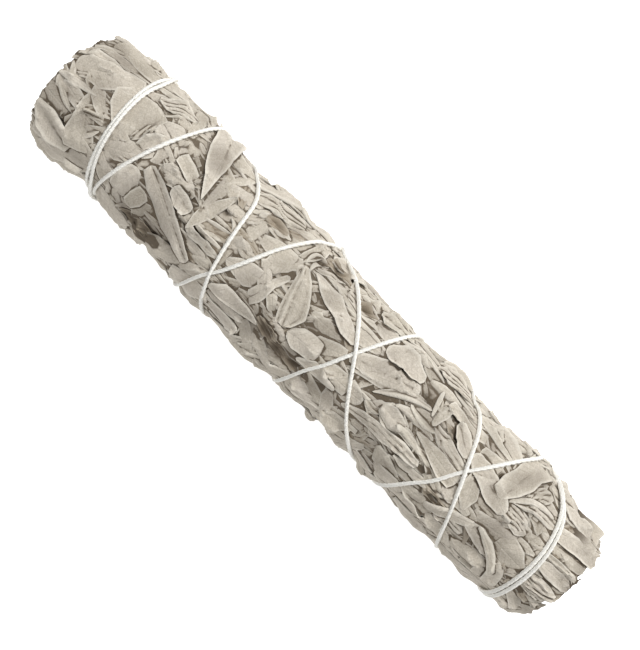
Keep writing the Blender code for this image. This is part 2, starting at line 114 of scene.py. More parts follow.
class Finish:
    """A material with its own shader, and one method that adds any other node."""

    def __init__(self, name, roughness, gloss):
        self.material = bpy.data.materials.new(name)
        self.material.use_nodes = True
        self.tree = self.material.node_tree
        self.shader = self.tree.nodes["Principled BSDF"]
        self.shader.inputs["Roughness"].default_value = roughness
        self.shader.inputs["Specular IOR Level"].default_value = gloss

    def feed(self, socket, value):
        if isinstance(value, Shade):
            self.tree.links.new(value.socket, socket)
        else:
            socket.default_value = value

    def node(self, kind, settings=None, sockets=None, out=0):
        made = self.tree.nodes.new("ShaderNode" + kind)
        for name, value in (settings or {}).items():
            setattr(made, name, value)
        for name, value in (sockets or {}).items():
            self.feed(made.inputs[name], value)
        return Shade(made.outputs[out])

    def mark(self, name, out=2):
        """A value that the mesh carries at its points."""
        return self.node("Attribute", {"attribute_name": name}, out=out)

    def parts(self, vector):
        """The first two parts of a vector."""
        split = self.node("SeparateXYZ", sockets={0: vector}).socket.node
        return Shade(split.outputs[0]), Shade(split.outputs[1])

    def noise(self, size, detail=2.0, place=None):
        """Cloudy noise whose lumps are about the given size in mm."""
        sockets = {"Vector": place or self.node("TexCoord", out=3), "Detail": detail}
        sockets["Scale"] = 1 / (size * MM) if place is None else 1 / size
        return self.node("TexNoise", sockets=sockets)

    def between(self, value, low, high):
        """0 up to low and 1 from high on, smooth in between."""
        return self.node("MapRange", {"interpolation_type": "SMOOTHSTEP"},
                         {"Value": value, "From Min": low, "From Max": high})

    def mix(self, mask, first, second):
        """First colour where the mask is 0, and second where it is 1."""
        return self.node("Mix", {"data_type": "RGBA"}, {0: mask, 6: first, 7: second}, out=2)

    def close(self, colour, height, depth):
        """Give the shader its colour and its fine relief, depth in mm."""
        self.feed(self.shader.inputs["Base Color"], colour)
        bump = self.node("Bump", sockets={"Height": height, "Distance": depth * MM, "Strength": 1.0})
        self.feed(self.shader.inputs["Normal"], bump)
        return self.material


def new_piece(name, points, faces, material, marks, nodes):
    """Make a mesh from points in mm, with marks at its points, and ride it on the root."""
    mesh = bpy.data.meshes.new(name)
    mesh.from_pydata((points * MM).tolist(), [], faces)
    mesh.validate()
    for label, values in marks.items():
        kind, part = ("FLOAT_VECTOR", "vector") if values.ndim == 2 else ("FLOAT", "value")
        field = mesh.attributes.new(label, kind, "POINT")
        field.data.foreach_set(part, values.astype(np.float32).ravel())
    mesh.materials.append(material)
    mesh.shade_smooth()
    mesh.set_sharp_from_angle(angle=math.radians(SHARP_EDGE))
    piece = bpy.data.objects.new(name, mesh)
    bpy.context.scene.collection.objects.link(piece)
    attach(piece, "root")
    for node in nodes:
        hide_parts(node)
    return piece


def loft(rings):
    """Faces of a closed body through rings of points, with a point at each end."""
    count, sides = rings.shape[:2]
    index = np.arange(count * sides).reshape(count, sides)
    ahead = np.roll(index, -1, axis=1)
    quads = np.stack([index[:-1], ahead[:-1], ahead[1:], index[1:]], axis=-1).reshape(-1, 4).tolist()
    first = count * sides
    last = first + 1
    caps = [[first, b, a] for a, b in zip(index[0], ahead[0])]
    caps += [[last, a, b] for a, b in zip(index[-1], ahead[-1])]
    points = np.vstack([rings.reshape(-1, 3), rings[0].mean(axis=0), rings[-1].mean(axis=0)])
    return points, quads + [[int(i) for i in cap] for cap in caps]


def stem_finish():
    wood = Finish("stem_wood", 0.82, 0.25)
    grain = wood.mark("grain", out=1)
    fibre = wood.noise(1.0, 5.0, grain)
    blotch = wood.noise(5, 2.0)
    pith = wood.mark("pith")
    colour = wood.mix(wood.between(fibre, 0.3, 0.72), WOOD_BROWN, WOOD_PALE)
    colour = wood.mix(wood.between(blotch, 0.45, 0.75) * 0.5, colour, WOOD_GREY)
    colour = wood.mix(wood.between(pith, 0.3, 0.7), colour, PITH_CREAM)
    return wood.close(colour, fibre + blotch * 0.3, 0.18)


stem_wood = stem_finish()
stem_places = []
for number, (side, turn) in enumerate(STEM_SQUARES):
    name = f"stem_{number + 1:02d}"
    lowest, highest = (np.array(corner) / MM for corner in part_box(name))
    centre = (lowest + highest) / 2
    stem_places.append((centre[1], centre[2], side))
    rng = random.Random(name)
    steps = round((highest[0] - lowest[0]) / STEM_STEP)
    angle = np.arange(STEM_SIDES) * 2 * math.pi / STEM_SIDES
    spin = math.radians(turn)
    square = np.abs(np.cos(angle)) ** STEM_CORNER + np.abs(np.sin(angle)) ** STEM_CORNER
    square = square ** (-1 / STEM_CORNER)
    flute = 1 - STEM_FLUTE * np.cos(2 * angle) ** 2
    outline = side / 2 * square * flute
    rings = []
    piths = []
    grains = []
    wander = [rng.uniform(0, 6.3) for _ in range(4)]

    def stem_ring(x, scale, hollow):
        bent = STEM_BEND * math.sin(x / STEM_BEND_LENGTH + wander[0]) * scale
        rough = 1 + STEM_ROUGHNESS * np.sin(5 * angle + x / 3 + wander[1])
        y = outline * rough * scale * np.cos(angle) + bent
        z = outline * rough * scale * np.sin(angle)
        saw = STEM_SAW_MARKS * np.sin(3 * angle + wander[2]) * (scale > 0.9)
        rings.append(np.column_stack([x + saw,
                                      centre[1] + y * math.cos(spin) - z * math.sin(spin),
                                      centre[2] + y * math.sin(spin) + z * math.cos(spin)]))
        piths.append(np.full(STEM_SIDES, hollow))
        grains.append(np.column_stack([np.full(STEM_SIDES, x / GRAIN_STRETCH), y * 3, z * 3]))

    for scale, pith in ((0.1, 1), (PITH_SHARE * 0.85, 1)):
        stem_ring(highest[0] - PITH_DEPTH, scale, pith)
    for scale, pith in ((PITH_SHARE, 0.8), (0.6, 0), (0.94, 0)):
        stem_ring(highest[0], scale, pith)
    for x in np.linspace(highest[0] - 0.15, lowest[0], steps):
        share = (x - lowest[0]) / (highest[0] - lowest[0])
        stem_ring(x, STEM_THIN_END + (1 - STEM_THIN_END) * share, 0)
    points, faces = loft(np.array(rings)[::-1])
    pith = np.append(np.concatenate(piths[::-1]), [0, 1])
    grain = np.vstack([np.vstack(grains[::-1]), [[0, 0, 0], [0, 0, 0]]])
    new_piece(f"woody_{name}", points, faces, stem_wood, {"pith": pith, "grain": grain},
              [name])


# Packed heart of the bundle
# Under the leaves that show is a mass of older sage leaves, pressed almost solid by the string as they
# dried, painted near black as shade where it shows in the gaps. It takes the bundle's girth, which the
# string draws in.

LENGTH = 203.0
AXIS_HEIGHT = 20.4
UNROLLED_RADIUS = 19.5
GIRTH = [
    (-104, 19.3), (-101.5, 19.9), (-98, 20.8), (-90, 21.5), (-79, 21.0), (-65, 21.6), (-40, 21.4),
    (-10, 21.3), (15, 20.8), (45, 20.9), (60, 20.3), (75, 21.2), (90, 20.5), (97, 19.6), (101.5, 18.7),
    (104, 18.2),
]
# Fullness of the two sides over the girth: place along, at +Y, at -Y
SIDE_SWELL = [
    (-104, 0.6, 0.6), (-90, 0.4, 0), (-80, 1.8, -0.8), (-65, 1.8, -0.3), (-58, 1.4, -0.8),
    (-48, 0.9, 0.5), (-40, 0.4, 0.8), (-29, 1.6, 1.2), (-15, 1.4, 0.3), (-5, 0.6, 0.5), (8, 0.4, 0.7),
    (24, 1.6, 0.2), (38, 1.5, 0.6), (49, 0.2, 0.9), (62, 0.2, 0.6), (71, 1.2, 0.5), (80, 0.8, 0),
    (87, -0.3, 0.1), (94, -1.2, 0.9), (104, -0.6, 1.3),
]
CELL = 0.4
TURN = 2 * math.pi * UNROLLED_RADIUS
COLUMNS = round(TURN / CELL)
REACH = LENGTH / 2 + 4
ROWS = round(2 * REACH / CELL) + 1
LUMPS = 0.15
LUMP_COUNT = 8
LUMP_LENGTHS = (60, 20)
LUMP_CIRCLE = 25
LEAF_FULLNESS = 0.3
STRING_GROOVE = 1.35
STRING_WINDOW = 40
GROOVE_REACH = 2.6
PINCH_REACH = 7
UNDER_STRING = 1.95
UNDER_STRING_REACH = 2.2
HEART_DEPTH = 4.8
HEART_RECESS = 9
HEART_RELIEF = 0.35
HEART_GRID = (80, 64)
# Painted shade: the heart shows only down in the gaps, so its colours are near black
HEART_SHADE_DARK = (0.08, 0.062, 0.042, 1)
HEART_SHADE_BROWN = (0.2, 0.16, 0.11, 1)
FLOOR_GAP = 0.25

# Route of the string: place along, angle
STRING_ROUTE = [
    (-85, -608), (-84.4, -590), (-83.2, -570), (-81.8, -540), (-80.2, -510), (-78.6, -482), (-76.9, -450),
    (-77.5, -410), (-79.8, -360), (-81.5, -315), (-80.9, -270), (-79.9, -225), (-78.2, -180), (-76, -135),
    (-74.4, -92), (-73, -58), (-70.4, -28), (-67.4, 0), (-63.6, 34), (-60.4, 70), (-57, 100), (-48, 180),
    (-39, 268), (-33.9, 315), (-29.5, 338), (-26, 360), (-22.5, 385), (-17.5, 413), (-12.5, 438),
    (-3, 540), (2.2, 635), (5.7, 680), (9, 702), (11.6, 721), (16, 750), (22.6, 795), (35, 900),
    (43.8, 992), (48.4, 1035), (53.2, 1060), (56.5, 1080), (61.5, 1102), (66.9, 1126), (72, 1148),
    (75.2, 1172), (79.5, 1195), (83.7, 1221), (87.4, 1260), (90.2, 1305), (91.3, 1350), (90.9, 1395),
    (89.9, 1440), (87.7, 1476), (84, 1500), (79.9, 1530), (80.2, 1575), (84.6, 1620), (88.4, 1665),
    (89.9, 1710), (89.5, 1755), (88.6, 1800), (86.4, 1836), (82.7, 1860), (78.4, 1884), (75.4, 1912),
    (74.4, 1960), (73.6, 2025), (71.6, 2068), (65.6, 2113), (60.4, 2146), (56.5, 2170), (53.2, 2198),
    (50, 2218), (46, 2232), (44.6, 2295), (43.4, 2340), (41.4, 2390), (37.2, 2425), (31, 2455),
    (25.3, 2476), (18.9, 2502), (12.6, 2528), (6.2, 2553), (0.2, 2572), (-6.5, 2590), (-11.5, 2612),
    (-18.5, 2700), (-26, 2790), (-32.2, 2858), (-34.4, 2886), (-36.8, 2917), (-40.5, 2936), (-44.4, 2952),
    (-55, 3015), (-67, 3105), (-72.9, 3148), (-76.0, 3190), (-78.4, 3232), (-80.1, 3272), (-80.0, 3300),
    (-81.2, 3325), (-83.5, 3344), (-85, 3352),
]


def around_from(angle):
    """Distance round the unrolled bundle at an angle."""
    return np.radians(angle) * UNROLLED_RADIUS


def smooth_route(points, step):
    """Even steps along a smooth curve through (place, angle) points of the unrolled bundle."""
    knots = np.array([(x, around_from(angle)) for x, angle in points])
    knots = np.vstack([2 * knots[0] - knots[1], knots, 2 * knots[-1] - knots[-2]])
    curve = []
    for before, start, end, after in zip(knots, knots[1:], knots[2:], knots[3:]):
        for t in np.linspace(0, 1, 24, endpoint=False):
            curve.append(0.5 * (2 * start + (end - before) * t
                                + (2 * before - 5 * start + 4 * end - after) * t**2
                                + (3 * start - before - 3 * end + after) * t**3))
    curve.append(knots[-2])
    curve = np.array(curve)
    run = np.concatenate([[0], np.cumsum(np.linalg.norm(np.diff(curve, axis=0), axis=1))])
    marks = np.linspace(0, run[-1], round(run[-1] / step) + 1)
    return np.column_stack([np.interp(marks, run, curve[:, axis]) for axis in (0, 1)])


def shifted(field, reach, axis, mode):
    """A field moved by each number of cells up to the reach, both ways along one axis."""
    pad = [(0, 0), (0, 0)]
    pad[axis] = (reach, reach)
    padded = np.pad(field, pad, mode=mode)
    return [padded.take(range(i, i + field.shape[axis]), axis) for i in range(2 * reach + 1)]


def blur(field, size, wrap=True):
    """Soften a field over about the given size, closing on itself round the bundle if it wraps."""
    sigma = size / CELL
    reach = max(1, round(2.6 * sigma))
    weights = np.exp(-0.5 * (np.arange(-reach, reach + 1) / sigma) ** 2)
    weights /= weights.sum()
    for axis, mode in ((0, "edge"), (1, "wrap" if wrap else "edge")):
        field = sum(weight * moved for weight, moved in zip(weights, shifted(field, reach, axis, mode)))
    return field


def highest_near(field, size):
    """Largest value within the given distance along and round."""
    reach = round(size / CELL)
    for axis, mode in ((0, "edge"), (1, "wrap")):
        field = np.max(shifted(field, reach, axis, mode), axis=0)
    return field


def read_cells(field, row, column):
    """Value of a field between its cells, closing on itself across its columns."""
    low_row = np.floor(row).astype(int)
    low_column = np.floor(column).astype(int)
    up = row - low_row
    on = column - low_column
    left = np.mod(low_column, field.shape[1])
    right = np.mod(low_column + 1, field.shape[1])
    low = field[low_row, left] * (1 - on) + field[low_row, right] * on
    high = field[low_row + 1, left] * (1 - on) + field[low_row + 1, right] * on
    return low * (1 - up) + high * up


def read(field, x, around):
    """Value of a field of the unrolled bundle at a place."""
    return read_cells(field, np.clip((x + REACH) / CELL, 0, ROWS - 1.001), around / CELL)


def wrap_round(x, around, radius):
    """Points of the unrolled bundle, rolled up again round its axis."""
    angle = around / UNROLLED_RADIUS
    return np.stack([x + 0 * radius, radius * np.sin(angle), AXIS_HEIGHT + radius * np.cos(angle)], axis=-1)


def waves(rng, count, longest, shortest):
    """A smooth random function of a place, about -1 to 1."""
    rows = []
    for _ in range(count):
        length = math.exp(rng.uniform(math.log(shortest), math.log(longest)))
        turn = rng.uniform(0, 2 * math.pi)
        pull = 2 * math.pi / length
        rows.append((math.cos(turn) * pull, math.sin(turn) * pull,
                     rng.uniform(0, 2 * math.pi), length / longest))
    total = math.sqrt(sum(row[3] ** 2 for row in rows)) * 0.8
    return lambda x, y: sum(w * np.sin(a * x + b * y + c) for a, b, c, w in rows) / total


route = smooth_route(STRING_ROUTE, 1.0)
grid_x = np.arange(ROWS)[:, None] * CELL - REACH
grid_around = np.arange(COLUMNS)[None, :] * CELL
grid_angle = grid_around / UNROLLED_RADIUS
lump = waves(random.Random("girth"), LUMP_COUNT, *LUMP_LENGTHS)
lumps = lump(grid_x, LUMP_CIRCLE * np.cos(grid_angle))
lumps = lumps + lump(grid_x + 500, LUMP_CIRCLE * np.sin(grid_angle))
near_string = np.full((ROWS, COLUMNS), 99.0)
for x, around in route:
    row = round((x + REACH) / CELL)
    column = round(around / CELL)
    rows = np.arange(max(0, row - STRING_WINDOW), min(ROWS, row + STRING_WINDOW))
    columns = np.arange(column - STRING_WINDOW, column + STRING_WINDOW)
    apart = np.hypot((rows * CELL - REACH - x)[:, None], (columns * CELL - around)[None, :])
    block = np.ix_(rows, np.mod(columns, COLUMNS))
    near_string[block] = np.minimum(near_string[block], apart)
pinch = 0.7 * np.exp(-(near_string / GROOVE_REACH) ** 2) + 0.3 * np.exp(-(near_string / PINCH_REACH) ** 2)
girth = np.interp(grid_x, *np.array(GIRTH).T) + 0 * grid_around
swell_x, swell_left, swell_right = np.array(SIDE_SWELL).T
sideways = np.sin(grid_angle)
swell = np.where(sideways > 0, np.interp(grid_x, swell_x, swell_left),
                 np.interp(grid_x, swell_x, swell_right))
swell = swell * sideways**2 * np.clip(1.2 + np.cos(grid_angle), 0, 1)
outside = girth + swell + LUMPS * lumps + LEAF_FULLNESS - STRING_GROOVE * pinch
downward = np.maximum(-np.cos(grid_angle), 0.3)
under_string = UNDER_STRING * np.exp(-(near_string / UNDER_STRING_REACH) ** 2)
outside = np.minimum(outside, (AXIS_HEIGHT - FLOOR_GAP) / downward - under_string)

heart_x = np.linspace(HEART_RECESS - LENGTH / 2, LENGTH / 2 - HEART_RECESS, HEART_GRID[0])
heart_around = np.arange(HEART_GRID[1]) * TURN / HEART_GRID[1]
spread_x, spread_around = np.meshgrid(heart_x, heart_around, indexing="ij")
crush = waves(random.Random("heart"), 9, 12, 3)
heart_radius = read(outside, spread_x, spread_around) - HEART_DEPTH
heart_radius = heart_radius + HEART_RELIEF * crush(spread_x, spread_around)
points, faces = loft(wrap_round(spread_x, spread_around, heart_radius)[:, ::-1])
heart = Finish("old_leaf_and_shade", 0.95, 0.1)
crumbs = heart.noise(1.2, 4)
# Painted shade for the gaps where the heart shows
heart_shade_colour = heart.mix(heart.between(crumbs, 0.3, 0.7), HEART_SHADE_DARK, HEART_SHADE_BROWN)
old_leaf_and_shade = heart.close(heart_shade_colour, crumbs, 0.6)
new_piece("packed_heart", points, faces, old_leaf_and_shade, {}, ["leaf_bundle"])


# Outer leaves and those that show between them
# Broad sage leaves, dried to felted, pale grey-green blades, were laid along the stems and
# bound while soft, so they are folded, rolled, pleated and torn where they press on each other.

# How a blade drapes over those under it, and how deep the lowest ones lie under the crests
LEAF_THICKNESS = 0.3
LAY_GAP = 0.25
LAY_MARGIN = 3.5
DRAPE_BLURS = (1.5, 0.9, 0.6)
DRAPE_SHARE = 0.55
DRAPE_SINK = 0.25
RELIEF_LIMIT = 2.7
# Depth at which the painted shade is at its darkest
DARK_DEPTH = 3.4
CREST_REACH = 3.2
CREST_BLUR = 3.6
CREST_OVER = 0.4
SINK_EASE = 0.9
SIDE_ANGLE = (50, 85)

# The saw cuts both ends a little unevenly
END_JAGS = 1.8
END_TRIM = 0.25
SAW_MARKS = (0.22, 0.12)
BUTT_SLANT = 1.3
BUTT_EXTRA = 0.7

# Heights and widths of the folds of each way that a blade is pressed
CREASE_HEIGHT = 0.3
WAVE_HEIGHT = 0.22
FELT_HEIGHT = 0.06
SWELL_HEIGHT = 0.25
MIDRIB_DEPTH = 0.16
MIDRIB_WIDTH = 0.4
CREASED_HEIGHT = 0.9
PILLOW_HEIGHT = 0.6
TROUGH_HEIGHTS = (1.2, 0.35)
ROLL_HEIGHT = 0.36
PLEAT = 1.35
PLEAT_HEIGHT = 0.85
RUFFLE = 1.7
RUFFLE_HEIGHT = 1.2
SHRED = 1.15
CRUMPLE_HEIGHT = 1.6
FAN_HEIGHTS = (0.35, 0.9)
KNOB_REACH = 7
KNOB_HEIGHT = 3.2

# Margins: lifted rims, edges that lie close, edges that are tucked under, and the width of the painted
# highlight along them
CORNER_SHIFT = 0.1
NOTCH_REACH = 2.5
RIM_WIDTH = 1.3
RIM_LIFTS = (1.3, 0.8)
RIM_HIGHLIGHT = 0.45
HUG_DEPTH = 0.15
HUG_REACH = 0.5
TUCK_DEPTH = 1.5
TUCK_REACH = (1.3, 1.3, 2.2, 2.2)

# Painted contact shade along the lines where blades meet, and the parts that run on under others
CAVITY_REACH = 0.45
CAVITY_DEPTH = 0.42
HIDDEN_LENGTH = 1.7
HIDDEN_WIDTH = 1.42
HIDDEN_CELLS = 3
FEWEST_CELLS = 3

# Leaves that show from above, the lowest first: how it is pressed, root (place along, angle),
# tip (place along, angle), width, or half widths on its two sides from root to tip, and bow
LOWER_LEAVES = [
    ("roll", -99, -6, -92, -17, 2, -0.6), ("roll", -99, -1, -90, 4, 2.3, 0),
    ("roll", -79, 55, -71, 57, 2.2, 0), ("flat", -96, -6, -90, -10, 3.2, 0),
    ("flat", -89, 8, -84, -1, 3, 0), ("flat", -98, 40, -88, 46, 3, 0), ("flat", -98, 28, -91, 35, 3.4, 0),
    ("flat", -80, 67, -66, 74, 3.4, 0), ("flat", -73, -7, -67, 1, 2.4, 0),
    ("roll", -62, 2, -53, 10, 1.3, 0.8), ("roll", -56, 6, -56, -6, 1.3, 2.2),
    ("roll", -61, 1, -56, -1, 1.5, -0.5), ("roll", -60, -3, -56, -2, 1.1, 0),
    ("pillow", -51, -7, -46, -14, 3.4, 0), ("flat", -51, -19, -46, -32, 2.6, 0),
    ("flat", -57, -34, -59, -50, 3.8, 0), ("flat", -57, -60, -47, -64, 4, 0),
    ("flat", -74, -62, -61, -72, 4.6, 0), ("roll", -38, 12, -36, 8, 1.3, 0.8),
    ("roll", -41, -1, -35, 3, 1.3, 0), ("roll", -43, -6, -36, -4, 1.8, -1.1),
    ("roll", -43, -11, -36, -11, 1.8, 0), ("crumple", -44, -18, -35, -19, 3.2, 0),
    ("roll", -40, 63, -26, 83, 3.4, 0), ("roll", -38, 51, -23, 67, 2.6, 0),
    ("roll", -26, 77, -13, 74, 3, 0), ("roll", -35, 32, -15, 59, 2.6, 1.3),
    ("crumple", -32, 34, -24, 37, 2.6, 0), ("flat", -36, 41, -32, 47, 2.8, 0),
    ("pillow", -40, 20, -36, 20, 3.3, 0), ("flat", -46, -27, -36, -28, 2.5, 0),
    ("pillow", -37, -31, -34, -30, 2.3, 0), ("flat", -40, -49, -33, -40, 3.5, 0),
    ("flat", -28, -46, -17, -45, 2.8, 0), ("flat", -29, -55, -17, -58, 3.4, 0),
    ("flat", -15, -7, -13, -13, 2.3, 0), ("roll", -10, 42, 4, 40, 3, 0), ("roll", -4, 40, 6, 34, 2.2, 0),
    ("flat", -2, 48, 6, 45, 2.4, 0), ("crumple", 0, 55, 7, 59, 3.5, 0),
    ("roll", -1, -18, 5, -19, 2.4, 0.7), ("flat", -5, -34, 5, -26, 3.1, 0),
    ("flat", -11, -44, 1, -67, 2.9, 0), ("crumple", -2, -14, 5, -17, 3.2, 0),
    ("crumple", 4, 52, 8, 57, 3.8, 0), ("roll", 5, 45, 11, 45, 1.6, 0), ("roll", 4, 39, 11, 39, 2, 0),
    ("roll", 3, 32, 16, 31, 1.4, 0), ("crumple", 13, 58, 20, 63, 4, 0), ("roll", 24, 57, 35, 50, 2.7, 1),
    ("roll", 26, 67, 34, 56, 2.4, 0.6), ("roll", 20, 52, 26, 54, 2.4, 0),
    ("flat", -2, -30, 4, -27, 4.2, 0), ("roll", -2, -42, 5, -39, 2, 0),
    ("crumple", 27, -8, 32, -1, 3.2, 0), ("roll", 42, -5, 53, -21, 1.4, 0),
    ("roll", 42, -29, 58, -30, 2.5, 0), ("flat", 41, -35, 58, -37, 3.1, 0),
    ("flat", 30, -30, 39, -25, 2.7, 0), ("roll", 34, 64, 40, 67, 2.4, 0.7),
    ("roll", 40, 61, 47, 58, 2.5, -0.7), ("roll", 42, 51, 48, 49, 1.9, 0),
    ("roll", 53, 59, 59, 55, 3.6, 0), ("roll", 50, 57, 65, 44, 2.6, 0), ("roll", 63, 10, 65, 12, 1.8, 0),
    ("roll", 49, -32, 58, -26, 2.5, 0), ("crumple", 78, 51, 75, 25, 2.8, 0),
    ("roll", 75, 12, 80, 17, 1.8, 0.6), ("roll", 74, 8, 79, 3, 1.5, -0.9),
    ("roll", 72, 11, 72, 2, 1.1, 0), ("roll", 73.5, 11, 74, 2, 1.1, 0),
    ("flat", 91, -33, 98, -32, 2.4, 0), ("roll", 91, -21, 95, -22, 2.2, -1.3),
    ("roll", 93, -20, 100, -19, 2, 0), ("roll", 92, -29, 100, -26, 2.2, 0),
    ("pillow", 78, 6, 82, 6, 2, 0), ("flat", 90, -13, 100, -12, 2.3, 0),
    ("flat", 91, -39, 97, -40, 3.1, 0),
]
MIDDLE_LEAVES = [
    ("ruffle", -61, 8, -51, 3, 6, 0), ("ruffle", -75, 44, -67, 54, 5, 0),
    ("ruffle", -37, 46, -24, 58, 6, 0), ("ruffle", -12, 42, -4, 52, 6, 0), ("ruffle", 1, 46, 9, 44, 6, 0),
    ("ruffle", 12, 56, 21, 62, 6, 0), ("ruffle", 44, -10, 56, -22, 5, 0),
    ("ruffle", 34, 60, 46, 62, 6, 0), ("ruffle", 71, 10, 80, 5, 6, 0), ("ruffle", 76, 26, 80, 46, 5, 0),
    ("ruffle", 91, -24, 99, -22, 6, 0), ("ruffle", 60, -30, 68, -36, 4, 0),
    ("ruffle", 46, 12, 56, 2, 5.5, 0), ("shred", -62, -58, -50, -56, 5, 0),
    ("shred", -52, -72, -40, -76, 4, 0), ("shred", -12, -30, -2, -41, 4.5, 0),
    ("shred", -3, -38, 7, -42, 4, 0), ("shred", -30, 36, -25, 38, 3, 0), ("shred", -10, 52, -3, 52, 3, 0),
    ("shred", 4, 46, 9, 46, 3, 0), ("shred", 54, -31, 60, -33, 3, 0), ("shred", 46, 21, 52, 18, 3, 0),
    ("shred", 90, -39, 95, -40, 3, 0), ("flat", -97, -58, -78, -52, 5.4, 0),
    ("pillow", -95, -75, -81, -63, 3.6, 0), ("flat", -99, -37, -87, -46, 5.2, 0),
    ("pillow", -100, -21, -93, -22, 5.4, 0), ("flat", -71, 53, -67, 67, 3, 0),
    ("torn", -79, 41, -66, 41, 4, 0), ("flat", -67, 70, -64, 39, 3.6, 0),
    ("flat", -69, 27, -65, 34, 3, 0), ("pillow", -69, 23, -66, 19, 2.5, 0),
    ("flat", -67, 18, -70, 4, 2.6, 0), ("flat", -77, -20, -67, -3, 5, 0),
    ("flat", -76, -27, -71, -32, 5, 0), ("flat", -75, -39, -71, -48, 3.6, 0),
    ("flat", -57, 25, -60, 8, 4.2, 0), ("torn", -61, 35, -64, 3, 4.8, 0),
    ("rimmed", -52, 7, -55, -11, 4, 0), ("flat", -45.5, 46, -45.5, 4, 4, 0),
    ("flat", -52, 60, -44, 59, 4.2, 0), ("flat", -44, 30, -38, 40, 3.9, 0),
    ("flat", -43, 56, -46, 31, 2.9, 0), ("flat", -51, -57, -41, -50, 5, 0),
    ("flat", -40, -60, -29, -59, 5, 0), ("flat", -24, 35, -15, 51, 4.8, 0),
    ("flat", -16, 36, -14, 57, 3.4, 0), ("torn", -16, 25, -22, 8, 5, 0),
    ("pillow", -21, 3, -18, -6, 3, 0), ("torn", -16, -42, -10, -62, 4.4, 0),
    ("flat", -17, -5, -18, -24, 2.7, 0), ("flat", -9, 59, 0, 67, 4.9, 0), ("torn", -2, 6, 6, 7, 3.6, 0),
    ("flat", -10, -24, -4, -27, 4.4, 0), ("flat", 3, -11, 10, -1, 4.6, 0),
    ("flat", 8, 55, 12, 56, 4.2, 0), ("flat", 11, 43, 18, 44, 3.7, 0), ("flat", 15, 22, 19, 27, 3.4, 0),
    ("pillow", 10, 23, 16, 25, 3.5, 0), ("flat", 6, -39, 15, -48, 3.7, 0),
    ("flat", 5, -52, 19, -62, 4.4, 0), ("flat", 15, -33, 19, -52, 3.2, 0),
    ("flat", 17, -21, 22, -18, 5.4, 0), ("flat", 11, -18, 17, -19, 5, 0),
    ("flat", 19, -50, 26, -49, 5.3, 0), ("pillow", 30, -8, 36, -8, 4.7, 0),
    ("pleat", 44, 14, 57, 4, 4.4, -0.6), ("pillow", 35, -8, 44, -11, 2.2, 0),
    ("pillow", 45, -21, 50, -21, 2.4, 0), ("flat", 37, -38, 44, -48, 4.7, 0),
    ("flat", 40, -54, 53, -59, 4.2, 0), ("flat", 50, -46, 59, -48, 3.6, 0),
    ("flat", 42, 33, 55, 40, 3.8, 0), ("flat", 46, 29, 56, 21, 5.2, 0), ("roll", 35, 41, 43, 43, 3.1, 0),
    ("flat", 57, 58, 67, 50, 4, 0), ("pleat", 48, 9, 57, 2, 3.9, 0), ("flat", 48, -9, 65, -20, 4.8, 0),
    ("flat", 60, 12, 64, -16, 3.8, 0), ("flat", 50, -45, 56, -42, 3.4, 0),
    ("flat", 51, -60, 62, -62, 3.8, 0), ("flat", 61, -52, 70, -60, 4, 0), ("flat", 77, 53, 84, 60, 4, 0),
    ("flat", 78, 37, 85, 38, 3, 0), ("pleat", 73, 16, 86, 26, 4.2, 1.2), ("flat", 77, -4, 87, 6, 4.4, 0),
    ("flat", 79, -7, 86, -5, 2.6, 0), ("flat", 79, -19, 87, -21, 6.8, 0),
    ("creased", 69, -17, 80, -10, 5, 0), ("pillow", 81, -36, 83, -59, 3.8, 0),
    ("pillow", 84, -36, 86, -58, 3.8, 0), ("flat", 88, 55, 97, 51, 3.6, 0),
    ("flat", 90, 13, 100, 19, 3.3, 0), ("pleat", 89, 4, 100, 5, 2.8, 0),
    ("flat", 90, -5, 100, -4, 3.2, 0), ("rimmed", 91, -45, 97, -56, 3, 0),
    ("flat", 70, -24, 78, -29, 3.8, 0), ("pillow", 70, -49, 80, -46, 4.8, 0),
]
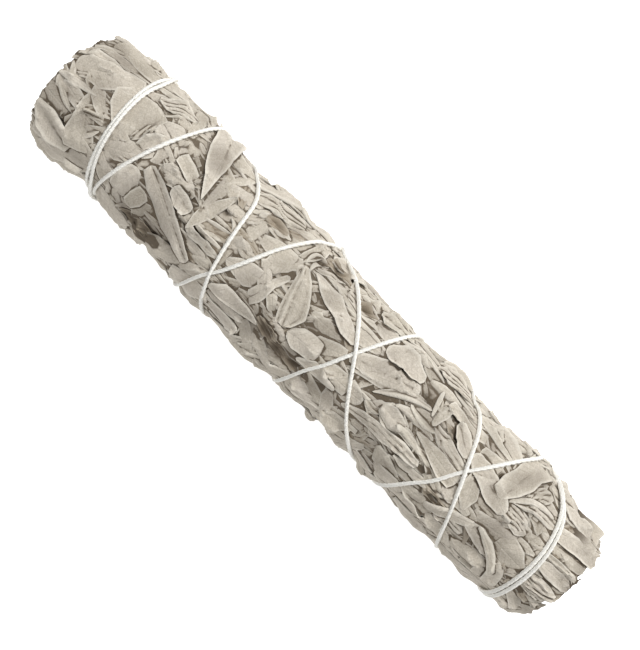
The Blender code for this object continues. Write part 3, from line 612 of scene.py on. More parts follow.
UPPER_LEAVES = [
    ("pillow", -98, 57, -81, 61, [2.5, 3, 3, 2.5], [3, 3.5, 3, 2], 0),
    ("flat", -75, 36, -78, -14, [3.4, 8, 9.2, 7.5, 3.5, 0.6], [5.2, 5.5, 5.7, 4.6, 3.2, 1.6], 0),
    ("flat", -90, 8, -82, -42, [0.3, 2, 3.5, 5, 6, 5.5], [0.3, 1.5, 2.5, 3.3, 4, 4], 0),
    ("flat", -99, 10, -81, 39, [3, 3.4, 4.2, 4, 3.2, 2.4], [3, 3.6, 4, 4, 3.6, 3], 0),
    ("creased", -66, -13, -67, -45, [2.2, 3.4, 4, 3.2], [1.6, 3.4, 3.6, 1.5], 0),
    ("creased", -60, -24, -63, -46, [2.4, 2.2, 1.4], [2.2, 2.6, 1.6], 0),
    ("ruffle", -62, 1, -50.5, 6, [1.4, 2.8, 3.2, 2.4, 1], [1.4, 2.6, 2.8, 2.2, 1], 0),
    ("flat", -60, 19, -52.5, 13, [1.8, 2.2, 2], [1.8, 2, 1.8], 0),
    ("creased", -55, -3, -47, -8, [1.8, 2.4, 1.8], [1.6, 2.2, 1.6], 0),
    ("rimmed", -57, 83, -47.4, 6, [5.4, 5.8, 5, 3.6, 1.8, 0.1], [4.2, 4, 3.2, 2.2, 1.2, 0.1], 0),
    ("trough", -64, -4, -39, -43, [2.2, 3.2, 3.2, 3.2, 2.8, 2], [1.4, 2.6, 2.9, 2.8, 2.5, 1.9], 0),
    ("rimmed", -41, 26, -45, -19, [0.5, 2.2, 2.8, 2.2, 0.2], [0.6, 1.2, 1.5, 1.2, 0.2], 0),
    ("flat", -31, 31, -31, 9, [3.6, 3.3, 3.2, 3], [2.6, 3.2, 2.8, 2.4], 0),
    ("flat", -29, 20, -17, 29, [1.5, 3.2, 2.8, 1.6], [0.9, 2.2, 2.2, 1.2], 0),
    ("pillow", -35, -3, -25, 4, [2.6, 3.8, 3.4, 1.4], [2.4, 3.9, 3.2, 1.2], 0),
    ("creased", -31, -14, -20, -5, [1, 2.9, 4, 2.6], [1, 2.6, 3.2, 2.4], 0),
    ("flat", -15, 14, -20, -21, [0.8, 1.3, 1.5, 1.1], [0.8, 1.3, 1.4, 0.8], 0),
    ("flat", -30, -42, -12, -35, [0.4, 0.7, 1, 1, 0.2], [1.2, 4.6, 4.4, 2.6, 0.2], 0),
    ("pillow", -5, -19, 6, -14, [1.4, 3, 3.6, 3.6], [1, 3, 3.6, 3.4], 0),
    ("fan", -14, 31, -7, -19, [1.2, 1.8, 2.3, 2.6, 2.8, 2.4], [0.9, 2.4, 4.2, 5.2, 4.6, 2], 0),
    ("flat", -11, 34, 11, 13, [0.4, 1.6, 2.4, 2.4, 2, 1], [0.4, 2.2, 3.2, 3, 2.2, 0.9], 0),
    ("roll", -15, 33, -10, 48, [0.7, 0.9, 0.7], [0.6, 0.9, 0.6], 2.6),
    ("roll", -12.6, 30, -9.6, 46, [0.6, 0.8, 0.5], [0.5, 0.7, 0.5], 1.7),
    ("flat", 2, -32, 16, -28, [0.6, 1.2, 1, 0.4], [0.6, 3, 3, 0.6], 0),
    ("flat", 33, 8, 43, 14, [1.6, 2.2, 2.2, 1.6], [1.6, 2.4, 2.2, 1.4], 0),
    ("flat", 28, -6, 37, -9, [1.6, 2.6, 2.6, 2], [1.6, 2.8, 2.4, 1.8], 0),
    ("flat", 12, 4, 33, 24, [1.4, 2.8, 3.2, 2.6, 1.6], [1.4, 3.4, 4, 3, 1.6], 0),
    ("flat", 13, -6, 36.5, 23, [0.3, 1.2, 2.6, 3, 2, 0.2], [0.3, 1, 1.8, 2.1, 1.4, 0.2], 0.8),
    ("knob", 18, 34, 32, 34, [2, 3.4, 3.5, 3, 1.6], [1.8, 3.4, 3.4, 3, 1.6], 0),
    ("trough", 23.5, -4, 39, 21, [0.3, 1, 1.2, 1, 0.5], [0.3, 1, 1.3, 1.1, 0.6], 1.4),
    ("roll", 30.5, 2, 45, 3, [0.6, 1.3, 1.4, 1, 0.5], [0.6, 1.3, 1.3, 1, 0.5], 1.1),
    ("roll", 33.5, 11, 44, 9, [0.6, 1.1, 1.1, 0.5], [0.6, 1, 1, 0.5], -0.8),
    ("roll", 34.5, -8, 45, -12, [0.5, 1, 1, 0.6], [0.5, 0.9, 1, 0.5], 0.3),
    ("rimmed", 40, -1, 58, -9, [0.5, 1.2, 2, 2.8, 3.2], [0.5, 1.6, 2.4, 2.6, 2.4], 0),
    ("flat", 41.5, 35, 55, 34, [1.6, 2.4, 2.2, 1.4], [1.8, 2.6, 2.4, 1.8], 0),
    ("flat", 47, 30, 55.5, 14, [1.4, 2.6, 2.4, 1.2], [1.8, 2.8, 2.6, 1.8], 0),
    ("pleat", 20, -32, 47, -20, [0.8, 1.8, 2.2, 2, 1.2], [0.6, 1.6, 2, 1.8, 1], 1.3),
    ("rimmed", 42, 31, 42, 12, [1.6, 1.7, 1.4, 0.8], [1.4, 1.6, 1.1, 0.6], 0),
    ("roll", 38, 40, 40, 17, [0.5, 0.7, 0.6, 0.4], [0.5, 0.7, 0.6, 0.4], 0),
    ("flat", 57, 28, 65, 30, [2, 3.4, 3.4], [2, 3.2, 2.6], 0),
    ("flat", 56, -45, 70, -21, [1, 2.3, 2.2, 1], [1, 2, 1.8, 0.8], 0),
    ("roll", 71, 12, 85, 33, [0.6, 1, 1, 0.6], [0.6, 1, 0.9, 0.5], 1.6),
    ("roll", 71, -19, 84, -44, [0.7, 1.3, 1.4, 1], [0.6, 1.3, 1.4, 1], 1.2),
    ("flat", 64, -2, 78, 0, [0.8, 4.4, 4.4, 2.6, 0.2], [1.2, 0.8, 0.5, 0.4, 0.2], 0),
    ("flat", 56, 22, 73, 2, [1.6, 3, 3.4, 3, 1.4], [1.8, 3.2, 3.6, 3, 1.4], 0),
    ("rimmed", 75, 66, 68, 10, [4, 4.2, 4.2, 3.8, 2.4], [4, 3.8, 3.8, 3.4, 1.6], 0),
    ("flat", 88, 27, 104.5, 37, [2.6, 3.6, 3.6, 3.4], [2.2, 3, 3.4, 3.4], 0),
]

# Pockets between leaves, sunk deeper, where lower leaves show with painted shade: place along, angle, reach
# along, reach round
POCKETS = [
    (-59, -58, 4, 2.4), (-54, -57, 3, 3), (-50, -52, 3, 2), (-45, -46, 2.4, 2), (-49, -74, 4, 2),
    (-42, -76, 4, 2), (-47, -13, 1.5, 2), (-51, -2, 1.4, 1), (-40, 14, 1.6, 1.2), (-28, 37, 2.6, 1.2),
    (-20, 7, 1.5, 2.4), (-46, 55, 2, 1), (-10, -34, 3, 2.4), (-3, -40, 3, 2), (3, -40, 3, 2),
    (-7, 52, 2.4, 1.3), (6, 46, 2.4, 1.3), (-12, 45, 1.6, 1), (57, -32, 2.6, 1.6), (70, -52, 1.5, 1.5),
    (81, -14, 1.4, 1), (79, -56, 2, 1.2), (90, -22, 1.4, 1.2), (92, -39, 1.4, 1.5), (49, 20, 2.6, 1.4),
    (49, -19, 1.6, 1.2), (-96, 30, 2, 1.2), (-96, -25, 2, 0.9), (-91, -36, 2, 0.8), (-87, -46, 2, 0.8),
    (36, 24, 1.5, 1.5), (22, 31, 0.8, 0.8), (13, -24, 2, 1.2), (66, 24, 1.2, 1.2),
]
POCKET_DEPTH = 1.6
POCKET_SHADE = 0.75


def pocket(x, around):
    """How far a place lies in a pocket, from 0 to 1."""
    inside = 0 * x
    for place, angle, reach_along, reach_round in POCKETS:
        apart = np.mod(around - around_from(angle) + TURN / 2, TURN) - TURN / 2
        inside = np.maximum(inside, np.exp(-((x - place) / reach_along) ** 2 - (apart / reach_round) ** 2))
    return inside


def folds(rng, count, shortest, longest):
    """Sharp folds in several directions, as in crushed paper, from 0 to 1."""
    rows = []
    for _ in range(count):
        length = rng.uniform(shortest, longest)
        turn = rng.uniform(0, math.pi)
        warp = waves(rng, 3, 26, 9)
        rows.append((math.cos(turn) / length, math.sin(turn) / length, rng.uniform(0, 2), warp,
                     length / longest, rng.uniform(0.1, 0.3)))
    total = sum(row[4] for row in rows)

    def height(x, y):
        zigzag = (w * np.abs(np.mod(a * x + b * y + c + bend * warp(x, y), 2) - 1)
                  for a, b, c, warp, w, bend in rows)
        return sum(zigzag) / total

    return height


def ridges(phase):
    """Zigzag from 0 to 1 and back with each whole step of phase."""
    return np.abs(np.mod(phase, 1) * 2 - 1)


class Blade:
    """One pressed leaf on the unrolled bundle, u along it from its root and v across it."""

    def __init__(self, form, x0, angle0, x1, angle1, low, high=None, bow=0.0, seed=0, tucked=0.5):
        self.form = form
        self.root = np.array([x0, around_from(angle0)])
        run = np.array([x1, around_from(angle1)]) - self.root
        self.length = np.linalg.norm(run)
        self.ahead = run / self.length
        self.low = low
        self.high = high
        self.bow = bow
        self.width = (max(low) + max(high)) if high else low
        rng = random.Random(seed)
        self.creases = folds(rng, 3, 3, 8)
        self.crush = folds(rng, 6, 1.5, 4)
        self.knot = folds(rng, 5, 3, 5)
        self.wave = waves(rng, 5, 30, 8)
        self.fine = waves(rng, 6, 5, 1.6)
        self.edges = [waves(rng, 5, 12, 1.8), waves(rng, 5, 12, 1.8)]
        self.lifts = [rng.uniform(-0.1, 0.8), rng.uniform(-0.1, 0.8)]
        self.corners = [([0, rng.uniform(0.12, 0.4), rng.uniform(0.6, 0.88), 1],
                         [rng.uniform(0.1, 0.7), rng.uniform(0.8, 1.1),
                          rng.uniform(0.75, 1.05), rng.uniform(0.1, 0.7)])
                        for _ in range(2)]
        self.tucks = [rng.random() < tucked for _ in range(4)]
        if self.tucks[0] and self.tucks[1]:
            self.tucks[rng.randrange(2)] = False
        self.planes = [(rng.uniform(-0.7, 0.7), rng.gauss(0, 0.22),
                        rng.choice([-1, 1]) * rng.uniform(0.12, 0.4))
                       for _ in range(2)]
        self.phase = rng.uniform(0, 1)
        self.deep = rng.uniform(0.8, 1.2)
        self.count = rng.choice([3, 4])
        self.tone = rng.uniform(-1, 1)
        self.ragged = {"torn": 0.25, "crumple": 0.2, "knob": 0.12, "shred": 0.2}.get(form, 0.035)
        self.age = 0.0

    def half_widths(self, t):
        """Distance from the midrib to both margins at t, 0 at the root and 1 at the tip."""
        sides = []
        for side, edge, (knots, shares) in zip((self.low, self.high), self.edges, self.corners):
            if self.high is None:
                body = self.low / 2 * np.interp(np.clip(t, 0, 1), knots, shares)
            else:
                even = np.linspace(0, 1, len(side))
                side = np.array(side) * (1 + CORNER_SHIFT * edge(4.7 * np.arange(len(side)), 9.0))
                body = np.interp(np.clip(t, 0, 1), even, side)
                body = body * np.clip(t / 0.02, 0.3, 1) * np.clip((1 - t) / 0.02, 0.3, 1)
            u = t * self.length
            notch = 1 + self.ragged * edge(u, 0 * u) * np.minimum(1, NOTCH_REACH / np.maximum(body, 0.5))
            sides.append(np.maximum(body * notch, 0.04))
        return sides

    def to_sheet(self, u, v):
        v = v + self.bow * 4 * (u / self.length) * (1 - u / self.length)
        return (self.root[0] + u * self.ahead[0] - v * self.ahead[1],
                self.root[1] + u * self.ahead[1] + v * self.ahead[0])

    def from_sheet(self, x, around):
        x = x - self.root[0]
        around = around - self.root[1]
        u = x * self.ahead[0] + around * self.ahead[1]
        v = -x * self.ahead[1] + around * self.ahead[0]
        t = u / self.length
        return u, v - self.bow * 4 * t * (1 - t)

    def relief(self, u, v, low, high):
        """Height over what the leaf lies on."""
        q = np.clip(np.where(v < 0, v / low, v / high), -1, 1)
        t = u / self.length
        crease = self.creases(u, v)
        height = CREASE_HEIGHT * self.deep * crease + WAVE_HEIGHT * self.wave(u, v)
        for place, drift, slope in self.planes:
            line = place * self.width / 2 + drift * (u - self.length / 2)
            height = height + slope * np.abs(v - line)
        tube = np.sqrt(np.maximum(1 - q * q, 0))
        midrib = np.exp(-(v / MIDRIB_WIDTH) ** 2)
        if self.form in ("flat", "torn", "rimmed"):
            height = height + SWELL_HEIGHT * (1 - q * q) - MIDRIB_DEPTH * midrib
        elif self.form == "creased":
            height = height + CREASED_HEIGHT * self.deep * crease**1.3 - 0.1 * midrib
        elif self.form == "pillow":
            height = height + PILLOW_HEIGHT * (1 - q * q) * np.minimum(1, self.width / 5)
        elif self.form == "trough":
            roll = np.sqrt(np.maximum(1 - ((q + 0.4) / 0.6) ** 2, 0))
            curled, standing = TROUGH_HEIGHTS
            height = 0.6 * height + curled * roll + standing * np.clip((q - 0.3) / 0.7, 0, 1)
        elif self.form == "roll":
            height = 0.4 * height + ROLL_HEIGHT * self.width * tube
        elif self.form == "pleat":
            warp = 0.4 * self.wave(u, v) + 0.08 * self.fine(0.4 * u, 0.4 * v)
            folded = ridges(v / PLEAT + self.phase + warp) ** 1.3
            height = 0.5 * height + PLEAT_HEIGHT * self.deep * folded + 0.3 * tube
        elif self.form == "ruffle":
            warp = 0.7 * self.wave(u, v) + 0.18 * self.fine(0.4 * u, 0.4 * v)
            folded = ridges(v / RUFFLE + self.phase + warp) ** 1.2
            height = 0.4 * height + RUFFLE_HEIGHT * self.deep * folded
        elif self.form == "fan":
            at_root, more = FAN_HEIGHTS
            height = 0.4 * height + (at_root + more * t) * ridges(self.count * (q + 1) / 2)
        elif self.form == "crumple":
            crushed = self.crush(u, v) ** 1.3
            height = CRUMPLE_HEIGHT * self.deep * crushed + 0.25 * self.fine(u, v) + 0.3 * tube
        elif self.form == "shred":
            warp = 0.5 * self.wave(u, v)
            height = self.deep * ridges(v / SHRED + self.phase + warp) + 0.1 * self.fine(u, v)
        elif self.form == "knob":
            dome = np.clip(1 - np.hypot(u - self.length / 2, v) / KNOB_REACH, 0, 1)
            height = dome + KNOB_HEIGHT * self.knot(u, v) ** 1.2 + 0.12 * self.fine(u, v)
        if self.form != "roll":
            ripple = 0.7 + 0.6 * self.wave(u, 0 * v)
            rim_lift = RIM_LIFTS[0] if self.form == "rimmed" else RIM_LIFTS[1]
            for inward, lift in ((v + low, self.lifts[0]), (high - v, self.lifts[1])):
                margin = np.clip(1 - inward / RIM_WIDTH, 0, 1)
                height = height + rim_lift * lift * ripple * margin**2
        edges = (v + low, high - v, u, self.length - u)
        for tuck, inward, reach in zip(self.tucks, edges, TUCK_REACH):
            if tuck:
                height = height - TUCK_DEPTH * np.clip(1 - inward / reach, 0, 1) ** 1.5
            elif self.form not in ("rimmed", "roll"):
                height = height - HUG_DEPTH * np.clip(1 - inward / HUG_REACH, 0, 1) ** 2
        return height + FELT_HEIGHT * self.fine(u, v)


class Heap:
    """Height of the leaves laid so far over the unrolled bundle, and which one lies on top."""

    def __init__(self):
        self.height = np.zeros((ROWS, COLUMNS))
        self.top = np.full((ROWS, COLUMNS), -1)

    def lay(self, blade, number):
        t = np.linspace(0, 1, 9)
        u, v = np.meshgrid(t * blade.length, np.array([-0.6, 0.6]) * blade.width)
        x, around = blade.to_sheet(u, v)
        rows = np.arange(max(0, math.floor((x.min() - LAY_MARGIN + REACH) / CELL)),
                         min(ROWS, math.ceil((x.max() + LAY_MARGIN + REACH) / CELL) + 1))
        columns = np.arange(math.floor((around.min() - LAY_MARGIN) / CELL),
                            math.ceil((around.max() + LAY_MARGIN) / CELL) + 1)
        block = np.ix_(rows, np.mod(columns, COLUMNS))
        here = self.height[block]
        base = here
        for size in DRAPE_BLURS:
            base = np.maximum(here, blur(base, size, wrap=False))
        base = (1 - DRAPE_SHARE) * base + DRAPE_SHARE * blur(base, DRAPE_BLURS[0], wrap=False)
        base = np.maximum(base, here - DRAPE_SINK)
        u, v = blade.from_sheet(rows[:, None] * CELL - REACH, columns[None, :] * CELL)
        low, high = blade.half_widths(u / blade.length)
        inside = (u > 0) & (u < blade.length) & (v > -low) & (v < high)
        raised = base + blade.relief(u, v, low, high) + LEAF_THICKNESS + LAY_GAP
        self.height[block] = np.where(inside, np.maximum(raised, here), here)
        tops = self.top[block]
        tops[inside & (raised > here)] = number
        self.top[block] = tops
        blade.base = base
        blade.corner = (rows[0], columns[0])
        blade.block = block


def read_base(blade, x, around):
    """Height at a place of what the leaf was draped over."""
    row = np.clip((x + REACH) / CELL - blade.corner[0], 0, blade.base.shape[0] - 1.001)
    column = np.clip(around / CELL - blade.corner[1], 0, blade.base.shape[1] - 1.001)
    return read_cells(blade.base, row, column)


def scatter(rng, count, forms, length, width, spread, angles, tucked):
    """Leaves by a rule: where they lie, how long and broad they are, and how far they turn from X."""
    blades = []
    for index in range(count):
        x = -100 + 200 * ((index * 0.618 + rng.uniform(-0.02, 0.02)) % 1)
        angle = rng.uniform(*angles)
        long = rng.uniform(*length)
        heading = rng.gauss(0, spread) + (math.pi if rng.random() < 0.5 else 0)
        along = long / 2 * math.cos(heading)
        turn = math.degrees(long / 2 * math.sin(heading) / UNROLLED_RADIUS)
        form = rng.choice(forms)
        broad = rng.uniform(*width) * (0.55 if form == "roll" else 1)
        blades.append(Blade(form, x - along, angle - turn, x + along, angle + turn, broad,
                            bow=rng.gauss(0, 0.09) * long, seed=rng.random(), tucked=tucked))
    return blades


rng = random.Random("leaves")
under = scatter(rng, 280, ["flat", "creased", "pleat"], (22, 38), (9, 14), 0.5, (0, 360), 0.4)
small = scatter(rng, 420, ["roll", "crumple", "pleat", "flat", "creased"],
                (8, 22), (2, 4.4), 0.5, (0, 360), 0.6)
clutter = scatter(rng, 260, ["roll", "pleat", "shred", "ruffle", "creased"],
                  (6, 16), (1.8, 3.8), 0.6, (-75, 75), 0.5)
sides = scatter(rng, 150, ["flat", "flat", "creased", "torn", "rimmed", "pleat", "trough"],
                (18, 38), (6, 12), 0.6, (62, 298), 0.5)
trims = scatter(rng, 84, ["roll", "pleat", "flat", "crumple"], (10, 28), (2.6, 6), 0.45, (58, 302), 0.6)
shoulders = []
for count, angles in ((46, (50, 80)), (40, (-80, -50))):
    shoulders += scatter(rng, count, ["flat", "creased", "pleat", "trough"],
                         (12, 26), (3, 6), 0.35, angles, 0.6)

# Any spot of the heart that the lowest leaves leave bare gets one more of them
FILL_LENGTH = 18
FILL_TURN = 15
FILL_WIDTH = 11
heap = Heap()
for number, blade in enumerate(under):
    heap.lay(blade, number)
bare = np.argwhere(heap.top < 0)
while len(bare):
    row, column = bare[len(bare) // 2]
    x = row * CELL - REACH
    angle = math.degrees(column * CELL / UNROLLED_RADIUS)
    blade = Blade("flat", x - FILL_LENGTH / 2, angle - FILL_TURN, x + FILL_LENGTH / 2, angle + FILL_TURN,
                  FILL_WIDTH, seed=len(under), tucked=0)
    heap.lay(blade, len(under))
    under.append(blade)
    bare = np.argwhere(heap.top < 0)

# Placed leaves run on a little under their neighbours, the broad ones more than the fine ones
FINE_FORMS = ("roll", "crumple", "pleat", "ruffle", "shred")
UNDER_AGE = 0.14
# Shreds lie in the pockets, and their darkening is painted shade
SHRED_SHADE = 0.7
seeded = under + small + clutter + sides + trims + shoulders
blades = list(seeded)
placed = LOWER_LEAVES + MIDDLE_LEAVES
placed.sort(key=lambda row: row[0] in FINE_FORMS)
for number, (form, x0, angle0, x1, angle1, width, bow) in enumerate(placed):
    more = HIDDEN_LENGTH / math.hypot(x1 - x0, around_from(angle1 - angle0))
    longer = more * (x1 - x0)
    further = more * (angle1 - angle0)
    broader = 1.05 if form in FINE_FORMS else HIDDEN_WIDTH
    blades.append(Blade(form, x0 - longer, angle0 - further, x1 + longer, angle1 + further,
                        width * broader, bow=bow, seed=number, tucked=0.6))
for number, row in enumerate(UPPER_LEAVES):
    blades.append(Blade(*row, seed=1000 + number, tucked=0.3))
for blade in under + small + clutter:
    blade.age = UNDER_AGE
for number, blade in enumerate(blades):
    blade.hollow = 1.0 if number < len(seeded) or blade.form in FINE_FORMS else 0.0
    if blade.form == "shred":
        blade.age = SHRED_SHADE

for number, blade in enumerate(blades):
    if number >= len(under):
        heap.lay(blade, number)
crest = blur(highest_near(heap.height, CREST_REACH), CREST_BLUR)
cavity_level = blur(heap.height, CAVITY_REACH)
relief_limit = RELIEF_LIMIT * (1 - 0.45 * pinch)


def finished(x, around, height, hollow):
    """Radius of a point at a height of the heap, and how deep it lies, from 0 to 1."""
    depth = np.maximum(read(crest, x, around) - height, -CREST_OVER)
    turned = np.degrees(np.abs(np.mod(around / UNROLLED_RADIUS + math.pi, 2 * math.pi) - math.pi))
    side = np.clip((turned - SIDE_ANGLE[0]) / (SIDE_ANGLE[1] - SIDE_ANGLE[0]), 0, 1)
    pressed = np.maximum(depth, 0) ** 2 / (np.maximum(depth, 0) + SINK_EASE)
    depth = depth + (pressed - depth) * side
    limit = read(relief_limit, x, around)
    sunk = limit * (1 - np.exp(-depth / limit)) + hollow * POCKET_DEPTH * pocket(x, around)
    return read(outside, x, around) - sunk, np.clip(sunk / DARK_DEPTH, 0, 1)


def butt_slant(around):
    """How much further than the rest the butt was cut, as the saw ran a little askew."""
    return BUTT_SLANT * np.sin(around / UNROLLED_RADIUS) + BUTT_EXTRA


def shows(blade, number, x, around):
    """Whether a leaf lies on top at a place or within a little way of it."""
    seen = heap.top[blade.block] == number
    near = range(-HIDDEN_CELLS, HIDDEN_CELLS + 1)
    for axis in (0, 1):
        seen = np.any([np.roll(seen, shift, axis) for shift in near], axis=0)
    row = np.rint((x + REACH) / CELL).astype(int) - blade.corner[0]
    column = np.rint(around / CELL).astype(int) - blade.corner[1]
    return seen[np.clip(row, 0, seen.shape[0] - 1), np.clip(column, 0, seen.shape[1] - 1)]


def sheet_faces(kept, flip=False):
    """Faces of a thin closed sheet over a grid of points: its top, its underside and its rim's walls."""
    shape = (kept.shape[0] + 1, kept.shape[1] + 1)
    count = shape[0] * shape[1]
    index = np.arange(count).reshape(shape)
    quads = np.stack([index[:-1, :-1], index[1:, :-1], index[1:, 1:], index[:-1, 1:]], axis=-1)[kept]
    if flip:
        quads = quads[:, ::-1]
    sides = np.concatenate([quads[:, [i, (i + 1) % 4]] for i in range(4)])
    forward = sides[:, 0] * count + sides[:, 1]
    backward = sides[:, 1] * count + sides[:, 0]
    rim = sides[~np.isin(forward, backward)]
    walls = np.column_stack([rim[:, 1], rim[:, 0], rim[:, 0] + count, rim[:, 1] + count])
    return np.concatenate([quads, quads[:, ::-1] + count, walls])


def shell(blade, number, along_step, across_step):
    """Points, faces and marks of a thin closed leaf, cut off at the sawn ends and far under others."""
    rows = max(6, round(blade.length / along_step))
    columns = max(6, round(blade.width / across_step))
    t = np.linspace(0, 1, rows + 1)
    q = np.linspace(-1, 1, columns + 1)
    q = 0.6 * q + 0.4 * np.sin(math.pi / 2 * q)
    t, q = np.meshgrid(t, q, indexing="ij")
    low, high = blade.half_widths(t)
    u = t * blade.length
    v = np.where(q < 0, q * low, q * high)
    x, around = blade.to_sheet(u, v)
    relief = blade.relief(u, v, low, high)
    saw = LENGTH / 2 - END_JAGS * blade.phase**2 - END_TRIM - SAW_MARKS[0] * blade.fine(around, 0 * around)
    saw = saw - SAW_MARKS[1] * np.sin(2 * around + 6 * blade.phase)
    butt = saw + butt_slant(around)
    held = np.clip(x, -saw, butt)
    height = read_base(blade, held, around) + relief + LEAF_THICKNESS + LAY_GAP
    radius, depth = finished(held, around, height, blade.hollow)
    top = wrap_round(held, around, radius)
    bottom = wrap_round(held, around, radius - LEAF_THICKNESS)
    beyond = (x < -saw) | (x > butt)
    kept = ~(beyond[:-1, :-1] & beyond[1:, :-1] & beyond[1:, 1:] & beyond[:-1, 1:])
    seen = shows(blade, number, held, around)
    kept &= seen[:-1, :-1] | seen[1:, :-1] | seen[1:, 1:] | seen[:-1, 1:]
    if not kept.any():
        return None
    used, faces = np.unique(sheet_faces(kept), return_inverse=True)
    faces = faces.reshape(-1, 4)
    points = np.vstack([top.reshape(-1, 3), bottom.reshape(-1, 3)])[used]
    inward = np.minimum(v + low, high - v)
    # Painted highlight along the margins, fading inward
    margin = np.clip(1.2 - inward / RIM_HIGHLIGHT, 0, 1)
    # Painted contact shade where a point lies lower than the leaves right round it
    cavity = (read(cavity_level, held, around) - height) / CAVITY_DEPTH
    # Browning with age, and painted shade in the pockets
    age = np.clip(blade.age + POCKET_SHADE * blade.hollow * pocket(held, around), 0, 1)
    vein = np.column_stack([u.ravel(), v.ravel(), np.full(u.size, 9 * blade.phase)])
    marks = {
        # Painted shade: the deeper a point lies, the darker, and the underside darker still
        "depth": np.concatenate([depth.ravel(), np.clip(depth.ravel() + 0.15, 0, 1)])[used],
        "margin": np.tile(margin.ravel(), 2)[used],
        "cavity": np.tile(np.clip(cavity.ravel(), -1, 1.5), 2)[used],
        "tone": np.full(len(used), blade.tone),
        "age": np.tile(age.ravel(), 2)[used],
        "vein": np.tile(vein, (2, 1))[used],
    }
    return points, faces, marks


# Dried sage is a pale, greyish green under white felt, and browner where it is old; painted shade darkens it
# where it lies deep, in cavities and in pockets, and painted highlight lightens its crests and margins
SAGE_GREY = (0.455, 0.411, 0.349, 1)
SAGE_PALE = (0.525, 0.477, 0.416, 1)
SAGE_DULL = (0.43, 0.388, 0.318, 1)
FELT_PALE = (0.66, 0.61, 0.53, 1)
MOTTLE_BROWN = (0.37, 0.33, 0.265, 1)
VEIN_BROWN = (0.33, 0.285, 0.22, 1)
MIDRIB_PALE = (0.60, 0.55, 0.46, 1)
CREST_HIGHLIGHT = (0.70, 0.66, 0.58, 1)
MARGIN_HIGHLIGHT = (0.72, 0.68, 0.6, 1)
AGED_AND_SHADE_BROWN = (0.26, 0.21, 0.15, 1)
CAVITY_SHADE = (0.095, 0.073, 0.05, 1)
DEPTH_SHADE_BROWN = (0.085, 0.065, 0.045, 1)


def leaf_finish():
    leaf = Finish("felted_leaf", 0.9, 0.12)
    depth = leaf.mark("depth")
    margin = leaf.mark("margin")
    tone = leaf.mark("tone")
    age = leaf.mark("age")
    cavity = leaf.mark("cavity")
    along, across = leaf.parts(leaf.mark("vein", out=1))
    felt = leaf.noise(0.45, 4)
    mottle = leaf.noise(1.3, 3)
    patches = leaf.noise(5, 3)
    spread = leaf.node("Math", {"operation": "ABSOLUTE"}, {0: across})
    side_vein = leaf.node("Math", {"operation": "SINE"}, {0: (along - spread * 0.9) * 2.9 + patches * 3})
    side_vein = leaf.between(side_vein, 0.86, 1.0)
    midrib = 1 - leaf.between(spread, 0.1, 0.35)
    cells = leaf.node("TexVoronoi", {"feature": "DISTANCE_TO_EDGE"},
                      {"Vector": leaf.node("TexCoord", out=3), "Scale": 1 / (0.75 * MM)})
    net = 1 - leaf.between(cells, 0.0, 0.16)
    colour = leaf.mix(leaf.between(patches, 0.35, 0.7), SAGE_GREY, SAGE_PALE)
    colour = leaf.mix(leaf.between(tone, -1.0, 1.0) * 0.75, colour, SAGE_DULL)
    colour = leaf.mix(leaf.between(felt, 0.35, 0.7) * 0.5, colour, FELT_PALE)
    colour = leaf.mix(leaf.between(mottle, 0.4, 0.75) * 0.25, colour, MOTTLE_BROWN)
    colour = leaf.mix(net * 0.12 + side_vein * 0.14, colour, VEIN_BROWN)
    colour = leaf.mix(midrib * 0.25, colour, MIDRIB_PALE)
    # Painted highlight where a point stands higher than the leaves right round it
    colour = leaf.mix(leaf.between(0 - cavity, 0.1, 1.0) * 0.4, colour, CREST_HIGHLIGHT)
    # Painted contact shade where a point lies lower than the leaves right round it
    colour = leaf.mix(leaf.between(cavity, 0.18, 0.85) * 0.93, colour, CAVITY_SHADE)
    # Painted highlight along the margins
    colour = leaf.mix(margin * 0.4, colour, MARGIN_HIGHLIGHT)
    # Browning with age, and painted shade in the pockets and on the shreds
    colour = leaf.mix(age * 0.8, colour, AGED_AND_SHADE_BROWN)
    # Painted shade, darker the deeper a point lies under the crests round it
    deep = leaf.between(depth + (patches - 0.5) * 0.2, 0.4, 1.05)
    colour = leaf.mix(deep * 0.9, colour, DEPTH_SHADE_BROWN)
    relief = felt * 0.5 + mottle * 0.4 + net * 0.25 + side_vein * 0.35 - midrib * 0.4
    return leaf.close(colour, relief, 0.16)


# Steps of the mesh along and across a leaf: the lowest ones, the scattered ones and the placed ones
UNDER_STEPS = (1.35, 1.0)
SEEDED_STEPS = (0.9, 0.56)
PLACED_STEPS = (0.58, 0.39)
PIECE_SHARE = 95
felted_leaf = leaf_finish()
cells_on_top = np.bincount(heap.top[heap.top >= 0], minlength=len(blades))
groups = {}
for number, blade in enumerate(blades):
    if cells_on_top[number] < FEWEST_CELLS:
        continue
    if number < len(under):
        made = shell(blade, number, *UNDER_STEPS)
    elif number < len(seeded):
        made = shell(blade, number, *SEEDED_STEPS)
    else:
        made = shell(blade, number, *PLACED_STEPS)
    if made is not None:
        kind = "inner" if number < len(under + small + clutter) else "outer"
        groups.setdefault(kind, []).append(made)


def join(made):
    """Several meshes as one: points, faces and marks."""
    start = np.cumsum([0] + [len(points) for points, _, _ in made[:-1]])
    points = np.vstack([part[0] for part in made])
    faces = np.vstack([part[1] + first for part, first in zip(made, start)]).tolist()
    marks = {name: np.concatenate([part[2][name] for part in made]) for name in made[0][2]}
    return points, faces, marks


for kind, made in groups.items():
    for start in range(0, len(made), PIECE_SHARE):
        points, faces, marks = join(made[start:start + PIECE_SHARE])
        new_piece(f"{kind}_leaves_{start // PIECE_SHARE + 1}", points, faces, felted_leaf, marks,
                  ["leaf_bundle"])


# Inner leaves at the sawn ends
# Both ends are cut across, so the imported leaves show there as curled, layered edges round
# the stems. Each is a short stretch of blade, a little shorter or longer than the next.

END_DEPTH = 11
END_LAYERS = 15
END_BLADE = 0.34
END_STEP = 0.9
END_MIDDLE = 1.6
END_MARGIN = 3.4
END_GAP = 0.96
STEM_PASSES = 3


